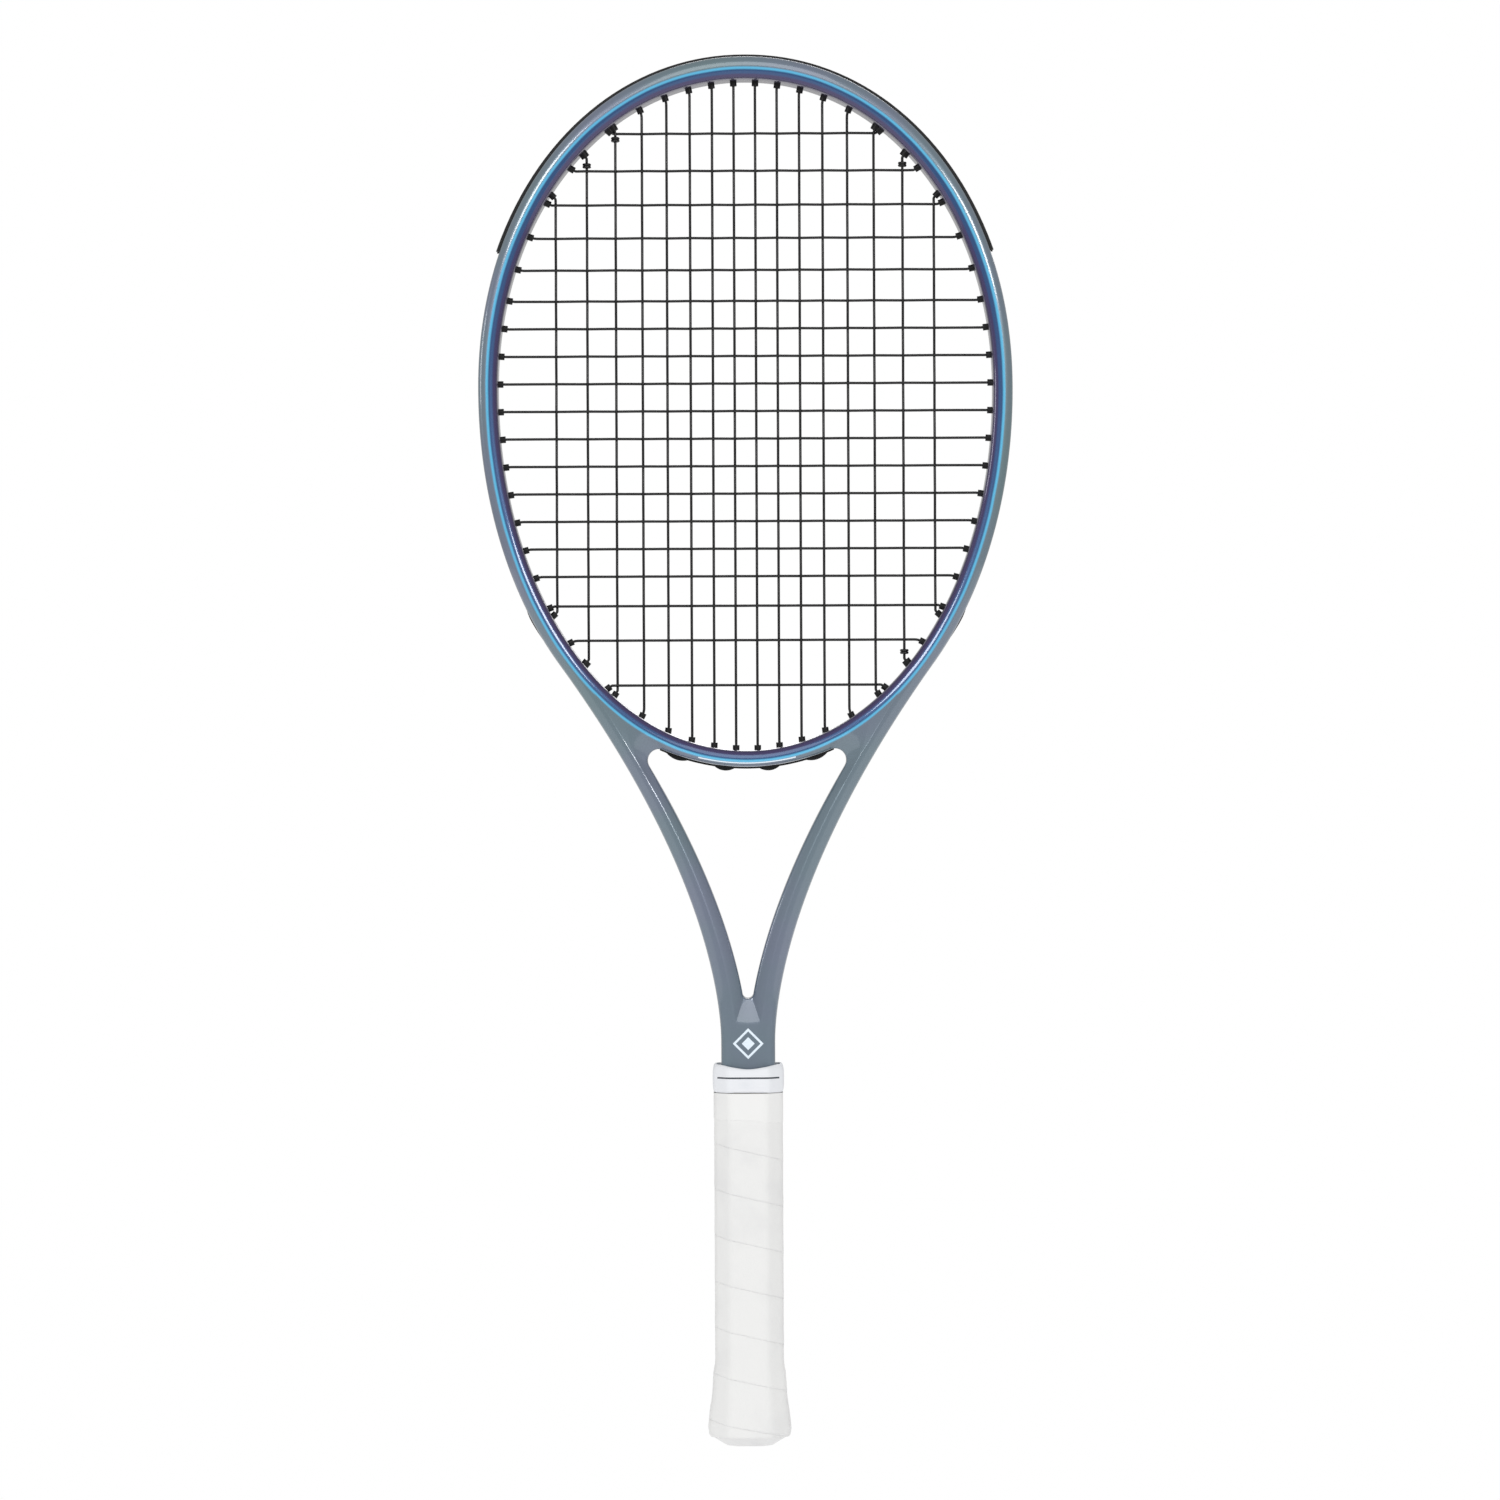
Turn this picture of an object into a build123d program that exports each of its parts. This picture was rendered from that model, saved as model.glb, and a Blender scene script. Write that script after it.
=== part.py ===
from build123d import *
from bisect import bisect_left
from dataclasses import dataclass
from functools import cache
from math import atan2, ceil, cos, degrees, hypot, pi, radians, sin, sqrt, tan
import os

# A tennis racket, in millimetres. +Z runs along the racket from the butt end at 0 to the tip,
# +X is to the right and the strings lie in the XZ plane.

# Whole racket
overall_length = 685.8

# String bed: an oval of two halves that meet at its widest height
bed_half_width = 122.1
bed_upper = 152.3
bed_lower = 178.5
upper_roundness = 2.05
lower_roundness = 2.03

# Frame moulding
beam_depth = 23.0
hoop_width_side = 9.65
hoop_width_tip = 11.3
bed_edge_radius = 4.2
outer_edge_radius = 4.5
throat_edge_radius = 3.3
laminate = 1.6
face_laminate = 2.5
web = 2.0

# Legs and shaft
leg_join_angle = -46.0
leg_sweep = 1.69
leg_width_top = 11.3
leg_parting = 0.1
shaft_straight_top = 200.0
hoop_points = 12
leg_points = 6

# Throat opening and its bridge
bridge_width = 8.1
bridge_camber = 0.005
throat_corner_radius = 5.6
throat_end = 220.3
bridge_half_span = 0.3767 * bed_half_width

# Grooves and the plastic strips in them
groove_width = 7.6
groove_depth = 2.4
strip_gap = 0.1
strip_floor = 1.0
strip_rib = 0.7
strip_rim_below = 0.3
groove_past_hole = 4.9
bumper_proud_tip = 1.0
bumper_proud_end = 1.7
bumper_width = beam_depth - 10.0
bumper_end_angle = 24.5
throat_strip_half = bridge_half_span - 3.0
throat_strip_proud = 0.9
saddle_height = 1.5
saddle_overlap = 0.5

# Grommet barrels
barrel_radius = 1.65
barrel_bore = 0.95
tie_barrel_radius = 2.15
tie_barrel_bore = 1.65
barrel_fit = 0.1
barrel_stand = 2.5
mouth_radius = 1.35
tie_mouth_radius = 1.9
mouth_depth = 0.4

# How far a cutting tool runs past what it cuts, and the size of a tool that takes all beyond a plane
overrun = 6.0
beyond = 1000.0

# Strings
string_radius = 0.65
weave = 0.78
weave_bend = 8.0
lane_bend = 1.4
tight_bend = 1.0
gentle_turn = 30.0
sharp_turn = 60.0
bend_share = 0.42
bend_clear = 0.9
main_count = 8
main_pitch = 0.0868 * bed_half_width
main_spread = 0.00027 * bed_half_width
cross_gaps = [18.4, 16.8, 16.4, 15.8, 15.3] + [13.6] * 10 + [14.6, 17.0, 22.2]
top_cross_below_tip = 38.3
lane = 2.15
lane_depth = 0.55
tie_share = 0.75
tip_gap = 0.8
knot_drop = 2.9
knot_rise = 1.8 * string_radius
tail_gap = 0.35
lane_start = 2.8
lane_step = 6.5
hoop_normal_share = 0.75
bridge_normal_share = 0.3
tied_mains = (6, 7)

# Handle
core_radius = 3.0
core_end = 7.0
pallet_width = 30.4
pallet_depth = 26.4
shaft_width = pallet_width - 3.8
core_width = pallet_width - 7.4
core_depth = pallet_depth - 7.4
pallet_bevel = 7.0
pallet_top = 183.5
glue_gap = 0.1

# Butt cap, its plug and its staples
cap_floor = 5.0
cap_skirt_top = 36.0
cap_growth = [(36.0, 0.9), (24.0, 1.6), (16.0, 2.8), (9.0, 3.6), (4.6, 2.9), (2.4, -0.5), (0.0, -4.2)]
plug_width = 15.4
plug_depth = 11.4
plug_recess = 0.4
plug_head = 1.6
plug_ledge = 1.1
plug_gap = 0.2
plug_corner = 1.2
plug_wall = 1.2
plug_reach = 1.0
staple_height = 30.0
staple_span = 8.0
staple_wire = 0.5
staple_breadth = 0.9
staple_leg = 4.0
staple_seat = 1.1

# Wrapping
grip_thickness = 1.9
grip_pressed = 1.3
grip_start = 4.6
tape_thickness = 0.4
tape_bottom = 160.8
tape_top = 174.0
collar_gap = 0.2
collar_bore = 0.35
collar_bevel = 6.2
collar_growth = [(0.0, 1.5), (4.8, 2.4), (9.8, 2.4), (14.0, 1.5)]

# What follows from them
beam_half = beam_depth / 2
shaft_half = shaft_width / 2
leg_width_bottom = shaft_half - leg_parting
bed_top = overall_length - bumper_proud_tip - hoop_width_tip
bed_centre = bed_top - bed_upper
bed_bottom = bed_centre - bed_lower
throat_top = bed_bottom - bridge_width
floor_depth = groove_depth - strip_gap - strip_floor
collar_bottom = tape_top + collar_gap


@dataclass
class Hole:
    """One stringing hole, in the XZ plane: where its string bends, its axis and its two ends."""
    bend: tuple
    axis: tuple
    tip: tuple
    inner: tuple
    outer: tuple
    tied: bool = False
    in_bridge: bool = False


def unit(x, z):
    """A direction of length one."""
    size = hypot(x, z)
    return x / size, z / size


def along(p, d, s):
    """The point at a distance s from p along d."""
    return p[0] + d[0] * s, p[1] + d[1] * s


# ---------------------------------------------------------------- outlines

def roundness(angle):
    """The power of the oval on the half that an angle lies in."""
    return upper_roundness if angle >= 0 else lower_roundness


def bed_point(angle):
    """A point of the string-bed oval, and its outward normal, for a right-hand angle in degrees."""
    n, half = roundness(angle), bed_upper if angle >= 0 else bed_lower
    c, s = round(cos(radians(angle)), 12), abs(sin(radians(angle)))
    u, v = c ** (2 / n), s ** (2 / n)
    up = 1 if angle >= 0 else -1
    normal = unit(u ** (n - 1) / bed_half_width, up * v ** (n - 1) / half)
    return (bed_half_width * u, bed_centre + up * half * v), normal


def bed_angle_at_width(x, top):
    """The angle at which the oval is x wide."""
    n = upper_roundness if top else lower_roundness
    angle = degrees(atan2((1 - (x / bed_half_width) ** n) ** 0.5, (x / bed_half_width) ** (n / 2)))
    return angle if top else -angle


def bed_angle_at_height(z):
    """The angle at which the oval is at height z."""
    top = z >= bed_centre
    n, half = (upper_roundness, bed_upper) if top else (lower_roundness, bed_lower)
    v = abs(z - bed_centre) / half
    angle = degrees(atan2(v ** (n / 2), (1 - v ** n) ** 0.5))
    return angle if top else -angle


def hoop_width(angle):
    """The width of the hoop, which is greatest at the tip."""
    rise = max(0.0, sin(radians(angle))) ** 1.5
    return hoop_width_side + (hoop_width_tip - hoop_width_side) * rise


def outer_point(angle, inset):
    """A point of the hoop's outer edge, moved inwards."""
    p, n = bed_point(angle)
    return along(p, n, hoop_width(angle) - inset)


def leg_width_at(z):
    """The width of a leg at height z."""
    share = (z - shaft_straight_top) / (throat_top - shaft_straight_top)
    return leg_width_bottom + (leg_width_top - leg_width_bottom) * min(max(share, 0.0), 1.0)


def leg_outer(z, inset=0.0):
    """The leg's outer edge at height z, moved inwards along its normal."""
    join = outer_point(leg_join_angle, 0.0)
    reach, span = join[0] - shaft_half, join[1] - shaft_straight_top
    h = max(z - shaft_straight_top, 0.0) / span
    slope = leg_sweep * reach / span * h ** (leg_sweep - 1)
    d = unit(-1.0, slope)
    return along((shaft_half + reach * h ** leg_sweep, z), d, inset)


def right_outline(inset, hoop_steps=60, leg_steps=30):
    """Points down the right outer edge, from the tip to the top of the handle."""
    spread = [90 - (90 - leg_join_angle) * i / hoop_steps for i in range(hoop_steps + 1)]
    hoop = [outer_point(a, inset) for a in spread]
    join = outer_point(leg_join_angle, 0.0)[1]
    drop = join - shaft_straight_top
    leg = [leg_outer(join - drop * i / leg_steps, inset) for i in range(1, leg_steps + 1)]
    return hoop + leg


def flip(p):
    """A point's mirror image on the racket's other side."""
    return -p[0], p[1]


def smooth(points, start, end):
    """A spline that leaves along start and arrives along end."""
    return Spline(*points, tangents=[start, end])


def outline_face(inset, foot):
    """The whole outer outline as a face that stands on the height foot."""
    right = right_outline(inset, hoop_points, leg_points)
    hoop, leg = right[:hoop_points + 1], right[hoop_points:]
    n = bed_point(leg_join_angle)[1]
    down = n[1], -n[0]
    x, z = leg[-1]
    edges = [smooth(hoop, (1, 0), down), smooth(leg, down, (0, -1)), Line((x, z), (x, foot))]
    left = [mirror(edge, Plane.YZ) for edge in edges]
    return make_face([*edges, Line((x, foot), (-x, foot)), *left])


def bed_face(grow):
    """The string-bed oval, grown along its normal."""
    right = [bed_point(90 - 180 * i / 36) for i in range(37)]
    right = [along(p, n, grow) for p, n in right]
    left = [(-x, z) for x, z in right[1:-1]]
    return make_face(Spline(*right, *left[::-1], periodic=True))


def bridge_under(x, drop=0.0):
    """The height of the bridge's underside at x, lowered by drop."""
    return throat_top + bridge_camber * x * x - drop


def leg_inner(z, grow=0.0):
    """The leg's inner edge at height z, moved into the leg, and the normal that points into the opening."""
    x, step = leg_outer(z)[0] - leg_width_at(z), 0.5
    slope = (leg_outer(z + step)[0] - leg_width_at(z + step) - x) / step
    n = unit(-1.0, slope)
    return along((x, z), n, -grow), n


def throat_corner():
    """The heights and places where the throat's upper corner leaves the leg and meets the bridge."""
    r, low, high = throat_corner_radius, throat_end + 20, throat_top + 12
    for _ in range(40):
        z = (low + high) / 2
        p, n = leg_inner(z)
        centre = along(p, n, r)
        feet = [(hypot(x - centre[0], bridge_under(x) - centre[1]), x)
                for x in (centre[0] - 12 + 0.05 * i for i in range(400))]
        gap, foot = min(feet)
        above = centre[1] > bridge_under(centre[0])
        low, high = (low, z) if above or gap < r else (z, high)
    return z, centre, foot


def throat_prism(grow, half_depth):
    """The throat opening, grown all round, with rounded corners."""
    end_radius = 1.0
    for _ in range(20):
        end_radius = leg_inner(throat_end + end_radius)[0][0]
    low = throat_end + end_radius
    z, centre, foot = throat_corner()
    side = [leg_inner(low + (z - low) * i / 8, grow)[0] for i in range(9)]
    side[0] = (end_radius + grow, low)
    n = unit(foot - centre[0], bridge_under(foot) - centre[1])
    foot_point = along((foot, bridge_under(foot)), n, grow)
    out = unit(side[-1][0] - centre[0], side[-1][1] - centre[1])
    bulge = along(centre, unit(out[0] + n[0], out[1] + n[1]), throat_corner_radius + grow)

    edges = [Spline(*side), ThreePointArc(side[-1], bulge, foot_point),
             ThreePointArc(foot_point, (0, throat_top + grow), flip(foot_point)),
             ThreePointArc(flip(foot_point), flip(bulge), flip(side[-1])),
             Spline(*[flip(q) for q in side[::-1]]),
             ThreePointArc(flip(side[0]), (0, throat_end - grow), side[0])]
    return in_depth(make_face(edges), half_depth)


def in_depth(face, half_depth):
    """A face drawn in x and z, made solid on both sides of the string plane."""
    return extrude(Plane.XZ * face, amount=half_depth, both=True)


def above(height):
    """All that lies above a height."""
    return Pos(0, 0, height + beyond / 2) * Box(beyond, beyond, beyond)


def band(low_inset, high_inset, half_depth, low_z):
    """A ring that follows the outer edge between two insets, above the height low_z."""
    outside = in_depth(outline_face(low_inset, pallet_top), half_depth)
    inside = in_depth(outline_face(high_inset, pallet_top - 1), half_depth + 1)
    ring = outside - inside
    return ring & above(low_z)


# ---------------------------------------------------------------- stringing holes

def hit_outside(p, d, inset=0.0):
    """Where a line from p along d leaves the outline."""
    points = right_outline(inset)
    for (x0, z0), (x1, z1) in zip(points, points[1:]):
        ex, ez = x1 - x0, z1 - z0
        det = ex * d[1] - ez * d[0]
        if abs(det) < 1e-9:
            continue
        s = (ex * (z0 - p[1]) - ez * (x0 - p[0])) / det
        u = (d[0] * (z0 - p[1]) - d[1] * (x0 - p[0])) / det
        if s > 0 and -1e-6 <= u <= 1 + 1e-6:
            return along(p, d, s)
    raise ValueError("a stringing hole misses the outline")


def hit_bridge(p, d, drop=0.0):
    """Where a line from p along d meets the underside of the bridge."""
    s = 5.0
    for _ in range(40):
        x, z = along(p, d, s)
        s += (z - bridge_under(x, drop)) / -d[1]
    return along(p, d, s)


def drill(find_angle, run, share, tied=False, in_bridge=False):
    """A right-hand hole whose string runs off along -run from its bend."""
    reach = barrel_stand + tip_gap
    d = run
    for _ in range(30):
        angle = find_angle(d, reach)
        p, n = bed_point(angle)
        d = unit(share * n[0] + (1 - share) * run[0], share * n[1] + (1 - share) * run[1])
    outer = hit_bridge(p, d) if in_bridge else hit_outside(p, d)
    return Hole(along(p, d, -reach), d, along(p, d, -barrel_stand), p, outer, tied, in_bridge)


def main_x(k):
    """The place across the bed of the main string in column k."""
    return main_pitch * (k - 0.5) + main_spread * (k - 0.5) ** 3


def main_hole(k, top):
    """The right-hand hole of main string k, at the tip or at the foot of the bed."""
    def find(d, reach):
        return bed_angle_at_width(main_x(k) + d[0] * reach, top)

    in_bridge = not top and main_x(k) < bridge_half_span
    share = bridge_normal_share if in_bridge else hoop_normal_share
    tied = k in tied_mains if top else k == tied_mains[-1]
    return drill(find, (0.0, 1.0 if top else -1.0), share, tied, in_bridge)


def cross_hole(z):
    """The right-hand hole of the cross string at height z."""
    def find(d, reach):
        return bed_angle_at_height(z + d[1] * reach)

    return drill(find, (1.0, 0.0), hoop_normal_share, tied=z == cross_z[0])


def mirrored(hole):
    """A hole's mirror image on the racket's left side."""
    return Hole(flip(hole.bend), flip(hole.axis), flip(hole.tip), flip(hole.inner),
                flip(hole.outer), hole.tied, hole.in_bridge)


cross_z = [overall_length - top_cross_below_tip]
for gap in cross_gaps:
    cross_z.append(cross_z[-1] - gap)

heads = {k: main_hole(k, True) for k in range(1, main_count + 1)}
tails = {k: main_hole(k, False) for k in range(1, main_count + 1)}
sides = [cross_hole(z) for z in cross_z]
bumper_foot = outer_point(bumper_end_angle, 0.0)[1]
bumper_holes = list(heads.values()) + [h for h in sides if h.outer[1] > bumper_foot]
side_holes = [h for h in sides if h.outer[1] <= bumper_foot]
side_holes += [h for h in tails.values() if not h.in_bridge]
bridge_holes = [h for h in tails.values() if h.in_bridge]
groove_end = min(h.outer[1] for h in side_holes) - groove_past_hole


def rod(start, end, radius, y=0.0):
    """A round bar between two points of the string plane."""
    a, b = Vector(start[0], y, start[1]), Vector(end[0], y, end[1])
    foot = Align.CENTER, Align.CENTER, Align.MIN
    return Plane(origin=a, z_dir=b - a) * Cylinder(radius, (b - a).length, align=foot)


def frame_hole(hole):
    """The tool that bores the frame for a grommet barrel."""
    radius = (tie_barrel_radius if hole.tied else barrel_radius) + barrel_fit
    return rod(along(hole.inner, hole.axis, -overrun), along(hole.outer, hole.axis, overrun), radius)


def barrel(hole, depth):
    """A grommet barrel from its tip to a depth under the outer edge."""
    radius = tie_barrel_radius if hole.tied else barrel_radius
    return rod(hole.tip, along(hole.outer, hole.axis, -depth), radius)


def barrel_hole(hole):
    """A barrel's bore, with a wider mouth where its string turns into the lane."""
    radius, mouth = (tie_barrel_bore, tie_mouth_radius) if hole.tied else (barrel_bore, mouth_radius)
    outside = along(hole.outer, hole.axis, overrun)
    return [rod(along(hole.tip, hole.axis, -2), outside, radius),
            rod(along(hole.outer, hole.axis, -floor_depth - mouth_depth), outside, mouth)]


def both_sides(holes):
    """Holes and their mirror images."""
    return holes + [mirrored(h) for h in holes]


# ---------------------------------------------------------------- frame moulding

def make_moulding():
    """The frame and its bridge as one body, before holes and grooves."""
    body = in_depth(outline_face(0.0, pallet_top), beam_half)
    body -= in_depth(bed_face(0.0), beam_half + 1)
    body -= throat_prism(0.0, beam_half + 1)
    return body


def rim_edges(body):
    """The front and back edges of the moulding: outer, string-bed and throat loops."""
    outer, bed, throat = [], [], []
    for face in (body.faces().sort_by(Axis.Y)[0], body.faces().sort_by(Axis.Y)[-1]):
        outer += [e for e in face.outer_wire().edges() if e.center().Z > pallet_top + 0.5]
        loops = sorted(face.inner_wires(), key=lambda w: w.center().Z)
        throat += list(loops[0].edges())
        bed += list(loops[-1].edges())
    return outer, bed, throat


def rounded(body):
    """The moulding with its three pairs of rims rounded."""
    outer, bed, throat = rim_edges(body)
    body = fillet(outer, outer_edge_radius)
    outer, bed, throat = rim_edges(body)
    body = fillet(bed, bed_edge_radius)
    outer, bed, throat = rim_edges(body)
    return fillet(throat, throat_edge_radius)


def bridge_zone():
    """The part of space that is cut apart as the throat bridge."""
    low = throat_top - 4
    shoulder = bridge_under(bridge_half_span) - throat_corner_radius
    points = [(0, low), (bridge_half_span, shoulder), (bridge_half_span, bed_centre),
              (-bridge_half_span, bed_centre), (-bridge_half_span, shoulder)]
    return in_depth(make_face(Polyline(*points, close=True)), beam_half + 2)


def make_cavity():
    """The hollow of the tube: hoop, legs and shaft, with a web between the two sides."""
    half = beam_half - face_laminate
    inset = groove_depth + laminate - 0.1
    core_half = core_depth / 2 - laminate
    hollow = in_depth(outline_face(inset, pallet_top), half)
    hollow -= in_depth(bed_face(laminate), half + 1)
    hollow -= throat_prism(laminate + 0.4, half + 1)
    hollow -= Pos(0, 0, throat_top) * Box(2 * bridge_half_span + 6, beam_depth, 4 * bridge_width)
    lower = Pos(0, 0, (core_end + pallet_top) / 2) * Box(
        core_width - 2 * laminate, 2 * core_half, pallet_top - core_end + 8)
    hollow += lower
    return hollow - Pos(0, 0, throat_end / 2) * Box(web, beam_depth, throat_end)


def make_frame_and_bridge():
    """The frame and the throat bridge, with grooves, hollow and holes."""
    body = rounded(make_moulding())
    core = Pos(0, 0, (core_end + pallet_top) / 2) * Box(core_width, core_depth, pallet_top - core_end)
    body += fillet(core.edges().filter_by(Axis.Z), core_radius)
    body -= band(-overrun, groove_depth, groove_width / 2, groove_end)
    body -= throat_band(-overrun, groove_depth, groove_width / 2, throat_strip_half + strip_gap)
    body -= make_cavity()
    body -= [frame_hole(hole) for hole in both_sides(bumper_holes + side_holes + bridge_holes)]
    zone = bridge_zone()
    return body - zone, body & zone


# ---------------------------------------------------------------- strips

def throat_band(low_drop, high_rise, half_depth, half_span):
    """A band along the bridge's underside, from low_drop under it to high_rise inside it."""
    def row(offset):
        ends = bridge_under(half_span) + offset
        return ThreePointArc((-half_span, ends), (0, throat_top + offset), (half_span, ends))

    low, high = row(low_drop), row(high_rise)
    left = Line(low @ 0, high @ 0)
    right = Line(low @ 1, high @ 1)
    return in_depth(make_face([low, right, high, left]), half_depth)


def drilled(strip, channel, holes):
    """A strip with its barrels, then its string channel and its bores."""
    strip += [barrel(hole, strip_rim_below) for hole in holes]
    strip -= channel
    return strip - [tool for hole in holes for tool in barrel_hole(hole)]


def make_bumper():
    """The bumper guard with its rail, its barrels and its string channel."""
    foot = bumper_foot + strip_gap
    inside = band(strip_gap, groove_depth - strip_gap, groove_width / 2 - strip_gap, foot)
    guard = in_depth(bumper_face(), bumper_width / 2)
    guard -= in_depth(outline_face(-strip_gap, pallet_top - 1), bumper_width)
    guard &= above(foot)
    joint = band(-2 * strip_gap, 2 * strip_gap, groove_width / 2 - strip_gap, foot)
    channel = band(-overrun, floor_depth, groove_width / 2 - strip_gap - strip_rib, foot - overrun)
    return drilled(guard + inside + joint, channel, both_sides(bumper_holes))


def bumper_face():
    """The bumper guard's outer outline: thin at the tip and thicker towards its ends."""
    points = []
    for i in range(13):
        angle = 90 - (90 - bumper_end_angle + 6) * i / 12
        share = min((90 - angle) / (90 - bumper_end_angle), 1.0)
        proud = bumper_proud_tip + (bumper_proud_end - bumper_proud_tip) * share
        points.append(outer_point(angle, -proud))
    right = Spline(*points)
    return make_face([right, mirror(right, Plane.YZ), Line(points[-1], flip(points[-1]))])


def make_side_strip():
    """The right-hand side strip: a channel with a rib on each side."""
    half = groove_width / 2 - strip_gap
    strip = band(strip_rim_below, groove_depth - strip_gap, half, groove_end + strip_gap)
    channel = band(-overrun, floor_depth, half - strip_rib, groove_end - overrun)
    strip &= Pos(beyond / 2, 0, (bumper_foot + groove_end) / 2) * Box(
        beyond, beyond, bumper_foot - groove_end - 2 * strip_gap)
    return drilled(strip, channel, side_holes)


def loop_spans():
    """The stretches of the bridge where a main string turns round to the next."""
    spans = []
    for k in range(1, len(bridge_holes), 2):
        spans.append((bridge_holes[k - 1].outer[0], bridge_holes[k].outer[0]))
    return spans + [(-b, -a) for a, b in spans]


def make_throat_strip():
    """The strip under the bridge, with a saddle at each string loop."""
    half = groove_width / 2 - strip_gap
    strip = throat_band(-throat_strip_proud, groove_depth - strip_gap, half, throat_strip_half)
    for a, b in loop_spans():
        middle, reach = (a + b) / 2, (b - a) / 2 + saddle_overlap
        low = middle, bridge_under(middle) - throat_strip_proud - saddle_height
        ends = [(x, bridge_under(x)) for x in (middle - reach, middle + reach)]
        hump = make_face([ThreePointArc(ends[0], low, ends[1]), Line(ends[1], ends[0])])
        strip += in_depth(hump, half)
    channel = throat_band(-overrun, floor_depth, half - strip_rib, throat_strip_half - 2)
    return drilled(strip, channel, both_sides(bridge_holes))


# ---------------------------------------------------------------- strings

def at(p, y):
    """A point of the string plane moved to depth y."""
    return p[0], y, p[1]


@cache
def lane_ring():
    """The lane's middle line all round the hoop, from the left foot to the right, and its lengths."""
    right = right_outline(lane_depth, 480, 240)
    ring = [flip(p) for p in right[:0:-1]] + right
    lengths = [0.0]
    for a, b in zip(ring, ring[1:]):
        lengths.append(lengths[-1] + hypot(b[0] - a[0], b[1] - a[1]))
    return ring, lengths


def outside_lane(a, b, y):
    """Points along the outer edge from hole a to hole b, evenly spaced, in the lane at depth y."""
    if a.in_bridge:
        low, high = a.outer[0], b.outer[0]
        across = [low + (high - low) * i / 4 for i in (1, 2, 3)]
        return [(x, y, bridge_under(x, -lane_depth)) for x in across]
    ring, lengths = lane_ring()

    def place(hole):
        x, _, z = lane_corner(hole, y)
        nearest = min(range(len(ring)), key=lambda i: hypot(ring[i][0] - x, ring[i][1] - z))
        return lengths[nearest]

    start, stop = place(a), place(b)
    way = lane_start if stop > start else -lane_start
    first, last = start + way, stop - way
    count = ceil(abs(last - first) / lane_step)
    spots = [first + (last - first) * i / count for i in range(count + 1)]
    if abs(stop - start) < 3 * lane_start:
        spots = [(start + stop) / 2]
    return [at(ring[bisect_left(lengths, spot)], y) for spot in spots]


def lane_corner(hole, y):
    """The point outside a hole where its string turns into the lane."""
    if hole.in_bridge:
        p = hit_bridge(hole.inner, hole.axis, -lane_depth)
    else:
        sign = 1 if hole.outer[0] > 0 else -1
        inner, axis = hole.inner, hole.axis
        x, z = hit_outside((sign * inner[0], inner[1]), (sign * axis[0], axis[1]), lane_depth)
        p = (sign * x, z)
    return at(p, y)


def back_or_front(k, side, j):
    """The side on which main string k lies where it meets cross string j: 1 is the back."""
    column = k if side > 0 else 1 - k
    return 1 if (column + j) % 2 else -1


def meets(k, j, margin):
    """Whether main string k and cross string j meet inside their bends, by a margin."""
    inside = main_x(k) < sides[j].bend[0] - margin
    return inside and tails[k].bend[1] + margin < cross_z[j] < heads[k].bend[1] - margin


def tie_side(k, side, top):
    """The side that main string k takes in a tie-off hole, which is that of its nearest crossing."""
    order = range(len(cross_z)) if top else reversed(range(len(cross_z)))
    nearest = next(j for j in order if meets(k, j, -bend_clear))
    return back_or_front(k, side, nearest)


def main_run(k, side, downwards):
    """A main string's points between its two bends."""
    points = [(side * main_x(k), back_or_front(k, side, j) * weave, cross_z[j])
              for j in range(len(cross_z)) if meets(k, j, bend_clear)]
    return points if downwards else points[::-1]


def cross_run(j, rightwards):
    """A cross string's points between its two bends."""
    columns = [(k, -1) for k in range(main_count, 0, -1)] + [(k, 1) for k in range(1, main_count + 1)]
    points = [(side * main_x(k), -back_or_front(k, side, j) * weave, cross_z[j])
              for k, side in columns if meets(k, j, bend_clear)]
    return points if rightwards else points[::-1]


def through(hole, y, outwards):
    """Bend, then corner in the lane: the two points of a pass through a hole."""
    pair = [at(hole.bend, y), lane_corner(hole, y)]
    return pair if outwards else pair[::-1]


def pick(holes, k, side):
    """Hole k on the right for side 1, or its mirror image for side -1."""
    return holes[k] if side > 0 else mirrored(holes[k])


def main_half(side):
    """One half of the main string, from the tip's centre to its knot."""
    route = []
    for k in range(1, main_count + 1):
        down = k % 2 == 1
        first, last = (heads, tails) if down else (tails, heads)
        enter, leave = pick(first, k, side), pick(last, k, side)
        if k > 1:
            route += outside_lane(pick(first, k - 1, side), enter, lane)
        route += through(enter, tie_share * tie_side(k, side, down) if enter.tied else 0.0, False)
        route += main_run(k, side, down)
        route += through(leave, tie_share * tie_side(k, side, not down) if leave.tied else 0.0, True)
    k = tied_mains[-1]
    knot_hole = pick(heads, k, side)
    route += outside_lane(pick(heads, main_count, side), knot_hole, lane)
    return route + through(knot_hole, -tie_share * tie_side(k, side, True), False) + [tail_end(k, side, True)]


def cross_route():
    """The whole cross string, from its starting knot to its last knot."""
    k = tied_mains[0]
    last = mirrored(heads[k])
    route = [tail_end(k, -1, True)] + through(last, -tie_share * tie_side(k, -1, True), True)
    for j in range(len(cross_z)):
        side = -1 if j % 2 == 0 else 1
        start, end = pick(sides, j, side), pick(sides, j, -side)
        lean = [-tie_share * tie_side(k, s, True) if start.tied else 0.0 for s in (side, -side)]
        route += outside_lane(last, start, -lane)
        route += through(start, lean[0], False) + cross_run(j, j % 2 == 0) + through(end, lean[1], True)
        last = end
    k = tied_mains[-1]
    lean = -tie_share * tie_side(k, 1, False)
    route += outside_lane(last, tails[k], -lane) + through(tails[k], lean, False)
    return route + [tail_end(k, 1, False)]


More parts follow.
